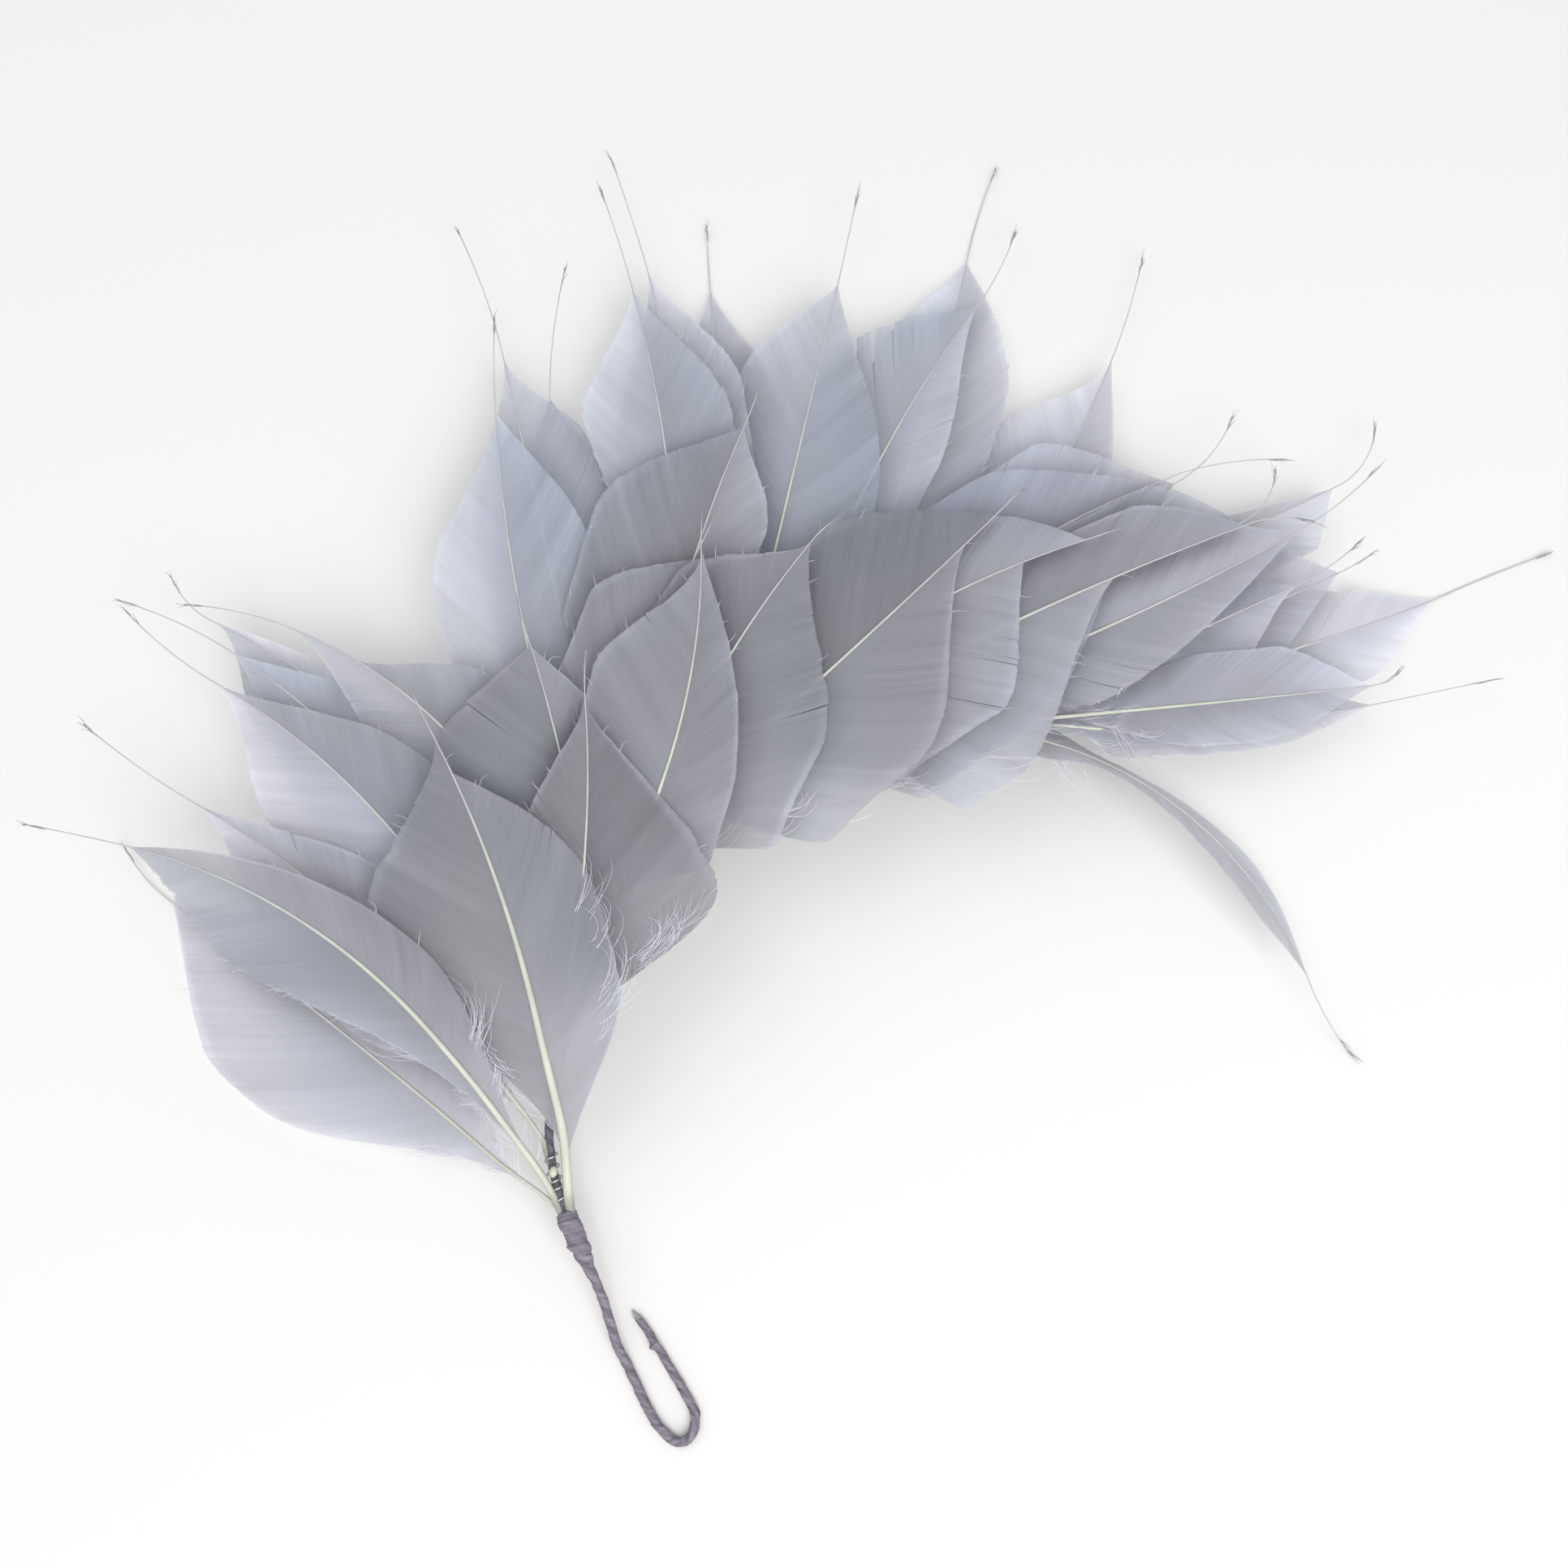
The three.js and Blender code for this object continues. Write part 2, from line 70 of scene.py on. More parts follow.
# The tape: where the stem starts on the foot, its radii, the shade of a turn's edge and of the
# wrinkles, its lumps, and the collar's rings, each a distance and a radius
STEM_START = 15
STEM_RADIUS = 1.42
HOOK_TIP_RADIUS = 1.1
RETURN_STARTS = 0.66
TAPE_EDGE = 0.07
EDGE_LIGHT = 0.22
EDGE_LINE = 0.3
WRINKLE_SHADE = 0.2
WRINKLE_PITCH = (1, 8)
WRINKLE_TURNS = (1, 5)
DARKEST_FOLD = 0.3
LIGHTEST_FOLD = 1.6
COLLAR_LUMP = (9.5, math.pi, 1.6, 0.5, 0.7)
HOOK_LUMP = (0, 0.9, 0.35, 0.9)
HOOK_LUMP_AT = 11.5
HOOK_CLEARANCE = 0.02
COLLAR_RINGS = [(0, 2.7), (0.8, 3.1), (2.5, 3.3), (6, 3), (9.5, 2.9), (12.5, 2.7), (16.5, 1.9)]

# Places along a feather, as fractions of its length from the foot to the vane's tip
VANE_START = 0.05
VANE_STOP = 0.995
HUG_DONE_AT = 0.16
LIFT_DONE_AT = 0.34
TWIST_STARTS = 0.4
TWIST_ENDS = 0.75
FOOT_FADE = 0.16

# The quill: the length bound to the wire, the solids' radius and the looks' own, the room that
# the solids keep, how it tapers, the size of a knot, and how many rings it is made of
BOUND_QUILL = 9
QUILL_RADIUS = 1.15
THIN_QUILL = 0.72
TIP_RADIUS = 0.21
SPIKE_RADIUS = 0.15
SOLID_GAP = 0.3
BINDING_ROOM = 1.1
QUILL_TAPER = 1.2
QUILL_FLATNESS = 0.8
KNOT_WIDTH = 0.006
KNOT_HEIGHT = 0.5
PATH_STEPS = 60
QUILL_RINGS = 90
BOUND_RINGS = 7

# Where the quill turns grey and its bare end brown, as fractions of each, and its dark places
GREY_PART = (0.4, 0.95)
BROWN_PART = (0.6, 0.95)
BOUND_DARKNESS = 0.45
KNOT_DARKNESS = 0.5

# The barbs: their spacing, how far they lean forward at four places along the feather, how much
# further they sweep at their ends, where along a barb the vane has points, and how often the
# search for a barb's end halves its interval
BARB_SPACING = 0.5
LEAN_AT = [VANE_START, 0.22, 0.5, 1]
LEAN = [0.05, 0.62, 1.02, 1.5]
SWEEP = 0.35
BARB_COLUMNS = np.array([0, 0.05, 0.12, 0.24, 0.38, 0.52, 0.66, 0.78, 0.87, 0.93, 0.97, 1])
HALVINGS = 24

# The vane's surface. A ripple is how far it turns along the feather and its share. A fold or a
# band is a number of knots along the feather and an amount.
CAMBER = 0.09
EDGE_ROLL = 0.9
ROLL_STARTS = 0.72
RIPPLES = [(9, 1), (21, 0.5), (43, 0.2)]
RIPPLE_HEIGHT = 0.6
FOLDS = [(14, 0.02), (40, 0.016), (110, 0.01)]
FOLD_HEIGHT = 9
LOWEST = 0.35

# The splits between barbs: where they sit, how wide they open, where on a barb they start, and
# how fast they close away from the edge and along it
FEWEST_CLUMPS = 2
SPLIT_PLACES = (0.15, 0.97)
SPLIT_OPENING = 0.6
SPLIT_DEPTHS = (0.75, 0.94)
SPLIT_CURVE = 1.4
SPLIT_FADE = 4

# How the dye changes over a vane, the painted shade by the quill and painted light towards the
# edge, the painted highlight along the rim and where it lies, and how solid the vane is
BANDS = [(20, 0.025), (55, 0.014)]
BARB_CHANGE = 0.008
WARMTH_CHANGE = 0.2
PAINTED_ROOT_SHADE = 0.93
PAINTED_EDGE_LIGHT = 0.13
RIM_HIGHLIGHT = 0.15
RIM_STARTS = 0.92
RIM_ENDS = 0.98
MOST_SOLID = 0.88
THINNING = 0.1
FOOT_SOLID = 0.62
EDGE_FADE = 0.15

# How a vane gives way to the feathers on top: the gap, how far the push spreads, in cells, and
# the soft shade painted beside them
LAYER_GAP = 0.5
LAYER_SPREAD = 4
SHADE_REACH = 3
SHADE_DEPTH = 0.6
MOST_COVER = 0.55

# What a feather has where its row says nothing else. The fields are those of the part's own
# rows, and for the looks: twist: how far the vane turns on towards the tip, in degrees. quill:
# the quill's radius at the foot. tone and warmth: how light and how warm a side is, on the left
# and the right; the tone is partly the dye's own and partly painted light and shade. sheer: how
# see-through a side is. curled: how far the edge turns up, or down below 0. down: how many tufts
# of loose hair a side has, and fluff: the fraction of the length they reach. knot: where a knot
# sits on the quill, if above 0. ragged: how uneven the edge is. tears: deep splits, each a side, a
# fraction of the length, the opening at the edge and the share of the barb that is still whole.
USUAL = dict(
    widest=(0.5, 0.5), shoulder=(0.7, 0.7), ogee=(0.3, 0.3), ends=(1, 1), spikeTurn=0, roll=4,
    twist=0, curl=0, spikeRise=4, quill=THIN_QUILL, tone=(1, 1), warmth=(0, 0), sheer=(0.12, 0.12),
    curled=(0.1, 0.7), down=(3, 3), knot=-1, fluff=(0.3, 0.3), ragged=(0, 0), tears=(),
)
LEFT, RIGHT = 0, 1
SIGNS = (1, -1)

LEFT_WING = [
    dict(at=2, foot=-20, heading=143, length=154, bend=5, lift=-8.4, left=33, right=20, spike=23,
         spikeTurn=-30, widest=(0.6, 0.5), shoulder=(0.68, 0.64), roll=2, tone=(1.4, 1.5), sheer=(0.2, 0.2),
         down=(8, 6)),
    dict(at=5, foot=35, heading=141.5, length=165, bend=49, lift=25, left=21, right=15, spike=32,
         spikeTurn=5, widest=(0.7, 0.45), shoulder=(0.7, 0.42), ogee=(0.3, 0), quill=1.1, tone=(1.05, 1.05),
         warmth=(-0.3, 0.3), sheer=(0.06, 0.06), down=(4, 14), ragged=(0.9, 0)),
    dict(at=21, foot=30, heading=137, length=145, bend=27, lift=14, left=24, right=19, spike=46,
         spikeTurn=-10, widest=(0.45, 0.5), shoulder=(0.6, 0.5), ogee=(0.5, 0.6), tone=(1.75, 1.35),
         down=(3, 8), tears=((RIGHT, 0.72, 1.6, 0.3),)),
    dict(at=35, foot=30, heading=130.5, length=164, bend=38, lift=11.8, left=25, right=22, spike=39,
         spikeTurn=-16, shoulder=(0.72, 0.58), ogee=(0.6, 0.8), tone=(1.75, 1.2)),
    dict(at=47, foot=10, heading=130.5, length=162, bend=32, lift=9.2, left=24, right=18, spike=41,
         spikeTurn=18, shoulder=(0.64, 0.64), ogee=(0.5, 0.5), tone=(1.75, 1.75), warmth=(-0.4, -0.4),
         sheer=(0.36, 0.3)),
    dict(at=57, foot=-10, heading=133, length=172, bend=42, lift=6.6, left=23, right=11, spike=22,
         spikeTurn=-44, shoulder=(0.8, 0.38), ogee=(0.9, 0), tone=(1.4, 1.75)),
    dict(at=69, foot=20, heading=131, length=148, bend=52, lift=10.4, left=18, right=22, spike=35,
         spikeTurn=22, widest=(0.5, 0.45), shoulder=(0.64, 0.58), ogee=(0.6, 1), ends=(1, 0.85),
         tone=(1.35, 1.05), sheer=(0.06, 0.06)),
]
FRONT = [
    dict(at=3, foot=170, heading=108, length=141, bend=23, lift=22.4, left=38, right=26, spike=14,
         spikeTurn=-11, widest=(0.6, 0.4), shoulder=(0.7, 0.56), ogee=(1, 0.1), ends=(1, 0.9), quill=1.55,
         tone=(0.9, 1.05), warmth=(0.2, 0), down=(12, 8), fluff=(0.5, 0.58)),
    dict(at=40, foot=90, heading=85.5, length=107, bend=20, lift=20, left=20, right=41, spike=16,
         spikeTurn=-13, widest=(0.42, 0.55), shoulder=(0.6, 0.44), ogee=(0.3, 0.6), tone=(0.95, 0.75),
         warmth=(0.1, 0), down=(4, 6), fluff=(0.3, 0.42)),
    dict(at=92, foot=75, heading=77, length=111, bend=30, lift=17.6, left=30, right=21, spike=9,
         spikeTurn=-8, widest=(0.4, 0.2), shoulder=(0.64, 0.28), ogee=(1, 0.3), tone=(1.2, 1.1),
         curled=(0.1, 1.6)),
    dict(at=104, foot=90, heading=62, length=114, bend=-18, lift=15.4, left=29, right=38, spike=10,
         spikeTurn=-35, widest=(0.3, 0.2), shoulder=(0.74, 0.48), ogee=(0.9, 0.5), tone=(0.95, 1),
         curled=(0.1, 1.6), tears=((RIGHT, 0.3, 1, 0.66),)),
    dict(at=118, foot=95, heading=44, length=144, bend=5, lift=13.4, left=36, right=38, spike=11,
         spikeTurn=-9, widest=(0.2, 0.25), shoulder=(0.68, 0.48), ogee=(0, 0.7), ends=(1, 0.9),
         tone=(0.85, 1.1), curled=(0.1, 1.6)),
    dict(at=75, foot=60, heading=102, length=96, bend=15, lift=15, left=35, right=20, spike=14,
         spikeTurn=-8, shoulder=(0.78, 0.54), ogee=(0, 0.3), tone=(0.9, 1.1),
         tears=((LEFT, 0.55, 1.2, 0.5),)),
]
RIGHT_WING = [
    dict(at=136, foot=100, heading=33.5, length=145, bend=-27, lift=11.5, left=21, right=40, spike=12,
         spikeTurn=-11, widest=(0.25, 0.3), shoulder=(0.78, 0.62), ogee=(0, 0.2), ends=(1, 0.85),
         tone=(1.35, 1.35), sheer=(0, 0), tears=((RIGHT, 0.32, 0.7, 0.5), (RIGHT, 0.45, 0.6, 0.6))),
    dict(at=152, foot=120, heading=31, length=136, bend=-14, lift=8, left=22, right=40, spike=12,
         spikeTurn=-8, widest=(0.3, 0.3), shoulder=(0.69, 0.54), ogee=(0, 0), tone=(1.5, 1.5)),
    dict(at=172, foot=80, heading=27, length=157, bend=-8, lift=9.8, left=20, right=44, spike=22,
         spikeTurn=-49, widest=(0.5, 0.2), shoulder=(0.79, 0.28), ogee=(0, 0.6), ends=(1, 0.7),
         tone=(1.15, 1.25), sheer=(0, 0)),
    dict(at=190, foot=90, heading=26, length=156, bend=11, lift=6.2, left=18, right=22, spike=35,
         spikeTurn=15, shoulder=(0.8, 0.34), ogee=(0.3, 0.1), tone=(1.6, 1.35), sheer=(0.06, 0.06),
         tears=((RIGHT, 0.22, 0.7, 0.35), (RIGHT, 0.27, 0.6, 0.4), (RIGHT, 0.33, 0.7, 0.3),
                (RIGHT, 0.4, 0.5, 0.4))),
    dict(at=204, foot=100, heading=21.5, length=135, bend=12, lift=2.8, left=18, right=32, spike=25,
         spikeTurn=15, widest=(0.5, 0.6), shoulder=(0.74, 0.56), ogee=(0.3, 0.7), tone=(1.75, 1.75),
         sheer=(0.36, 0.12)),
    dict(at=215, foot=70, heading=22, length=140, bend=11, lift=1, left=20, right=20, spike=12, spikeTurn=4,
         shoulder=(0.84, 0.64), ogee=(0, 0.3), tone=(1.75, 1.75), sheer=(0.2, 0.46)),
    dict(at=227, foot=90, heading=17.5, length=160, bend=15, lift=-1, left=18, right=17, spike=43,
         spikeTurn=-6, shoulder=(0.7, 0.76), ogee=(0.3, 0.6), curl=-6, tone=(1.75, 1.65), sheer=(0.2, 0.2),
         tears=((LEFT, 0.69, 5, 0.1),)),
    dict(at=240, foot=110, heading=7.5, length=112, bend=2, lift=3, left=17, right=14, spike=9,
         spikeTurn=45, widest=(0.55, 0.5), shoulder=(0.74, 0.64), tone=(1.65, 1.3)),
    dict(at=249, foot=150, heading=6, length=103, bend=14, lift=1.6, left=14, right=9, spike=40,
         spikeTurn=-2, widest=(0.5, 0.2), shoulder=(0.64, 0.56), ogee=(0.3, 0.2), tone=(1.5, 1.75),
         sheer=(0.2, 0.2)),
    dict(at=221, foot=190, heading=-36.5, length=135, bend=-68, lift=0, left=8, right=9, spike=28,
         spikeTurn=31, widest=(0.2, 0.22), shoulder=(0.7, 0.82), ogee=(0.3, 0.2), roll=60, twist=-18,
         spikeRise=-8.8, quill=0.4, tone=(1.2, 1.1), warmth=(-0.2, 0.1), sheer=(0, 0)),
]
BACK = [
    dict(at=91, foot=-30, heading=104, length=170, bend=-16, lift=5.4, left=26, right=25, spike=34,
         spikeTurn=-7, widest=(0.6, 0.45), shoulder=(0.66, 0.68), ogee=(1, 0.2), tone=(1.65, 1.6),
         warmth=(-0.2, -0.5), knot=0.38, ragged=(0.3, 0)),
    dict(at=97, foot=-50, heading=103.5, length=185, bend=2, lift=3.2, left=22, right=22, spike=52,
         spikeTurn=12, widest=(0.5, 0.45), shoulder=(0.64, 0.78), ogee=(0.7, 0.8), tone=(1.5, 1.5)),
    dict(at=102, foot=-70, heading=100.5, length=165, bend=-16, lift=1, left=22, right=22, spike=49,
         spikeTurn=-14, shoulder=(0.64, 0.7), ogee=(0.7, 0), tone=(1.5, 1.5)),
    dict(at=131, foot=-30, heading=96.5, length=179, bend=16, lift=4, left=25, right=23, spike=39,
         spikeTurn=6, widest=(0.8, 0.55), shoulder=(0.74, 0.7), ogee=(0.7, 0.6), tone=(1.7, 1.45),
         ragged=(0.5, 0.2)),
    dict(at=135, foot=-60, heading=96, length=185, bend=18, lift=1.8, left=22, right=22, spike=46,
         spikeTurn=5, shoulder=(0.64, 0.74), ogee=(0.8, 0.8), tone=(1.5, 1.6)),
    dict(at=140, foot=-90, heading=91, length=181, bend=7, lift=-0.4, left=22, right=23, spike=24,
         spikeTurn=-2, shoulder=(0.64, 0.7), ogee=(0.7, 0.7), curl=-8.4, tone=(1.5, 1.35)),
    dict(at=146, foot=-40, heading=78, length=175, bend=1, lift=1.8, left=25, right=28, spike=36,
         shoulder=(0.76, 0.56), ogee=(0.4, 0.4), tone=(1.5, 1.4), warmth=(-0.4, -0.5)),
    dict(at=166, foot=-80, heading=71, length=190, bend=14, lift=-1.8, left=22, right=24, spike=38,
         spikeTurn=-11, widest=(0.45, 0.45), shoulder=(0.76, 0.72), ogee=(0.5, 0), curl=-5,
         tone=(1.75, 1.45), sheer=(0.35, 0.12), ragged=(0, 0.4)),
    dict(at=160, foot=-60, heading=66, length=173, bend=-19, lift=0, left=31, right=18, spike=32,
         spikeTurn=15, widest=(0.4, 0.5), shoulder=(0.76, 0.64), ogee=(0, 0.5), tone=(1.4, 1.6),
         curled=(0.1, -0.6),
         tears=((LEFT, 0.5, 1.6, 0.5), (LEFT, 0.57, 2.4, 0.35), (LEFT, 0.63, 2.6, 0.3),
                (LEFT, 0.7, 1.8, 0.4), (LEFT, 0.77, 1.2, 0.5))),
    dict(at=185, foot=-60, heading=56, length=163, bend=24, lift=-3.6, left=28, right=18, spike=40,
         spikeTurn=9, shoulder=(0.7, 0.66), ogee=(1, 0.4), tone=(1.75, 1.3), sheer=(0.3, 0.15),
         tears=((LEFT, 0.5, 1.2, 0.4), (LEFT, 0.56, 1, 0.5), (LEFT, 0.62, 1.2, 0.45),
                (LEFT, 0.69, 1, 0.4))),
]
MIDDLE = [
    dict(at=113, foot=30, heading=77.5, length=139, bend=-17, lift=8.6, left=36, right=19, spike=15,
         spikeTurn=2, shoulder=(0.72, 0.76), ogee=(0.2, 0.4), tone=(1.1, 1.3), sheer=(0.06, 0.06)),
    dict(at=98, foot=20, heading=77.5, length=104, bend=-26, lift=11.2, left=26, right=16, spike=14,
         spikeTurn=-4, shoulder=(0.8, 0.64), ogee=(0.2, 0.3), tone=(1.2, 1.4), sheer=(0.06, 0.06)),
    dict(at=183, foot=20, heading=37.5, length=139, bend=-11, lift=0.8, left=36, right=20, spike=32,
         spikeTurn=38, shoulder=(0.78, 0.64), ogee=(0.4, 0.3), roll=1, tone=(1.75, 1.4), sheer=(0.2, 0.2)),
    dict(at=176, foot=40, heading=37.5, length=144, bend=-28, lift=2.6, left=29, right=11, spike=42,
         spikeTurn=-30, widest=(0.45, 0.5), shoulder=(0.6, 0.6), ogee=(0.5, 0), roll=2, tone=(1.75, 1.4),
         sheer=(0.36, 0.2)),
    dict(at=180, foot=60, heading=28.5, length=151, bend=3, lift=4.4, left=26, right=18, spike=22,
         spikeTurn=60, shoulder=(0.86, 0.64), ogee=(0, 0.3), roll=2, tone=(1.35, 1.4)),
    dict(at=201, foot=-60, heading=30, length=168, bend=-5, lift=-1, left=15, right=16, spike=27,
         spikeTurn=60, shoulder=(0.44, 0.88), ogee=(0.4, 0.4), roll=1, tone=(1.4, 1.75), sheer=(0.2, 0.2)),
]
SPRAY = dict(left=LEFT_WING, front=FRONT, right=RIGHT_WING, back=BACK, middle=MIDDLE)

# What the feathers of one group share where their rows say nothing else
SHARED = dict(front=dict(sheer=(0, 0)), back=dict(roll=1, warmth=(-0.3, -0.2)))

# Colours, as linear red, green and blue
DYE = np.array([0.476, 0.487, 0.536])
WARM_DYE = np.array([0.515, 0.5, 0.52])
COOL_DYE = np.array([0.45, 0.495, 0.56])
QUILL_CREAM = np.array([0.54, 0.55, 0.47])
QUILL_GREY = np.array([0.47, 0.47, 0.48])
SPIKE_BROWN = np.array([0.33, 0.32, 0.34])
DOWN_COLOUR = np.array([0.58, 0.58, 0.63])
TAPE_COLOUR = np.array([0.195, 0.18, 0.215])
HOOK_TIP_COLOUR = np.array([0.36, 0.37, 0.33])
WIRE_COLOUR = np.array([0.13, 0.125, 0.15])
BINDING_COLOUR = np.array([0.5, 0.5, 0.5])


# Curves

def smooth(value, low, high):
    share = np.clip((value - low) / (high - low), 0, 1)
    return share * share * (3 - 2 * share)


def unit(vectors):
    return vectors / np.maximum(np.linalg.norm(vectors, axis=-1, keepdims=True), 1e-6)


def left_of(ways):
    """The level directions to the left of the given ones."""
    return unit(np.stack([-ways[..., 1], ways[..., 0], 0 * ways[..., 0]], -1))


def dome_height(x, y):
    reach = np.where(y > CROWN_Y, BACK_REACH, FRONT_REACH)
    return CROWN_HEIGHT * np.exp(-((x / SIDE_REACH) ** 2) - ((y - CROWN_Y) / reach) ** 2)


class Route:
    """A smooth curve through points, the centripetal Catmull-Rom one, measured along its length."""

    STEPS_PER_SPAN = 40

    def __init__(self, points):
        points = np.array(points, float)
        first = 2 * points[0] - points[1]
        last = 2 * points[-1] - points[-2]
        knots = np.vstack([first, points, last])
        share = np.linspace(0, 1, self.STEPS_PER_SPAN, endpoint=False)[:, None]
        spans = [self.span(knots[i:i + 4], share) for i in range(len(points) - 1)]
        self.places = np.vstack([*spans, points[-1:]])
        steps = np.linalg.norm(np.diff(self.places, axis=0), axis=1)
        self.distances = np.concatenate([[0], np.cumsum(steps)])
        self.length = self.distances[-1]

    @staticmethod
    def span(four, share):
        before, start, end, after = four
        first, middle, last = np.sqrt(np.linalg.norm(np.diff(four, axis=0), axis=1))
        leave = (start - before) / first - (end - before) / (first + middle) + (end - start) / middle
        arrive = (end - start) / middle - (after - start) / (middle + last) + (after - end) / last
        leave, arrive = leave * middle, arrive * middle
        square = 3 * (end - start) - 2 * leave - arrive
        cube = 2 * (start - end) + leave + arrive
        return start + share * (leave + share * (square + share * cube))

    def at(self, distance):
        return np.stack([np.interp(distance, self.distances, self.places[:, i]) for i in range(3)], -1)

    def direction(self, distance):
        reach = 0.6
        ahead = self.at(np.clip(distance + reach, 0, self.length))
        behind = self.at(np.clip(distance - reach, 0, self.length))
        return unit(ahead - behind)


spine = Route([(x, y, float(dome_height(x, y))) for x, y in SPINE_ROUTE])
foot_route = Route(FOOT_ROUTE)


def bundle(distance):
    """The place and direction on the wires, from the far end of the spine into the collar."""
    if distance >= 0:
        return spine.at(distance), spine.direction(np.array(distance, float))
    return foot_route.at(-distance), -foot_route.direction(np.array(-distance, float))


# Meshes

def placed(name, data):
    """A new object in the scene."""
    thing = bpy.data.objects.new(name, data)
    bpy.context.scene.collection.objects.link(thing)
    return thing


def packed_frame(points):
    """Points of the drawing's frame, in millimetres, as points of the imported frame, in metres."""
    return (points + drawn_at) * METRES


class Build:
    """Collects points, faces, colours and texture places, and makes one object of them."""

    def __init__(self):
        self.points, self.faces, self.colours, self.places, self.slots = [], [], [], [], []
        self.count = 0

    def sheet(self, points, colours, places, slot=0, ring=False):
        """A grid of points: rows by columns. ring joins the last column to the first."""
        rows, columns = points.shape[:2]
        index = np.arange(rows * columns).reshape(rows, columns) + self.count
        across = np.roll(index, -1, axis=1) if ring else index[:, 1:]
        near = index if ring else index[:, :-1]
        quads = np.stack([near[:-1], across[:-1], across[1:], near[1:]], -1).reshape(-1, 4)
        self.points.append(points.reshape(-1, 3))
        self.colours.append(np.broadcast_to(colours, (rows, columns, 4)).reshape(-1, 4))
        self.places.append(np.broadcast_to(places, (rows, columns, 2)).reshape(-1, 2))
        self.faces.append(quads)
        self.slots.append(np.full(len(quads), slot))
        self.count += rows * columns

    def ribbons(self, lines, widths, colours, slot):
        """Thin flat hairs. lines: hairs by points by 3; widths: hairs by points."""
        half = left_of(np.gradient(lines, axis=1)) * widths[..., None] / 2
        for line, edge, colour in zip(lines, half, colours):
            self.sheet(np.stack([line - edge, line + edge], 1), colour, np.zeros(2), slot)

    def tube(self, places, ways, radii, colours, sides, slot=0, flat=1):
        """A closed tube. radii: one for each ring, or rings by sides."""
        left = left_of(ways)
        up = np.cross(ways, left)
        angle = 2 * np.pi * np.arange(sides) / sides
        radii = np.broadcast_to(np.reshape(radii, (len(places), -1)), (len(places), sides))
        rings = (places[:, None]
                 + left[:, None] * (radii * np.cos(angle))[..., None]
                 + up[:, None] * (flat * radii * np.sin(angle))[..., None])
        ends = np.repeat(places[[0, -1], None], sides, axis=1)
        rings = np.vstack([ends[:1], rings, ends[1:]])
        colours = np.broadcast_to(colours, (len(places), sides, 4))
        colours = np.concatenate([colours[:1], colours, colours[-1:]])
        self.sheet(rings, colours, np.zeros(2), slot, ring=True)

    def object(self, name, materials):
        mesh = bpy.data.meshes.new(name)
        points = packed_frame(np.vstack(self.points))
        faces = np.vstack(self.faces)
        mesh.from_pydata(points.tolist(), [], faces.tolist())
        for material in materials:
            mesh.materials.append(material)
        mesh.polygons.foreach_set("material_index", np.concatenate(self.slots))
        mesh.polygons.foreach_set("use_smooth", np.ones(len(faces), bool))
        # Each point's dye, with the light and shade painted into it on the vanes, the quills and the tape
        colour = mesh.color_attributes.new("dye_and_shade", "FLOAT_COLOR", "POINT")
        colour.data.foreach_set("color", np.vstack(self.colours).ravel())
        layer = mesh.uv_layers.new(name="barbs")
        layer.data.foreach_set("uv", np.vstack(self.places)[faces.ravel()].ravel())
        mesh.validate()
        return placed(name, mesh)


def with_alpha(colour, alpha=1.0):
    colour = np.asarray(colour, float)
    return np.concatenate([colour, np.full(colour.shape[:-1] + (1,), alpha)], -1)


# Feathers

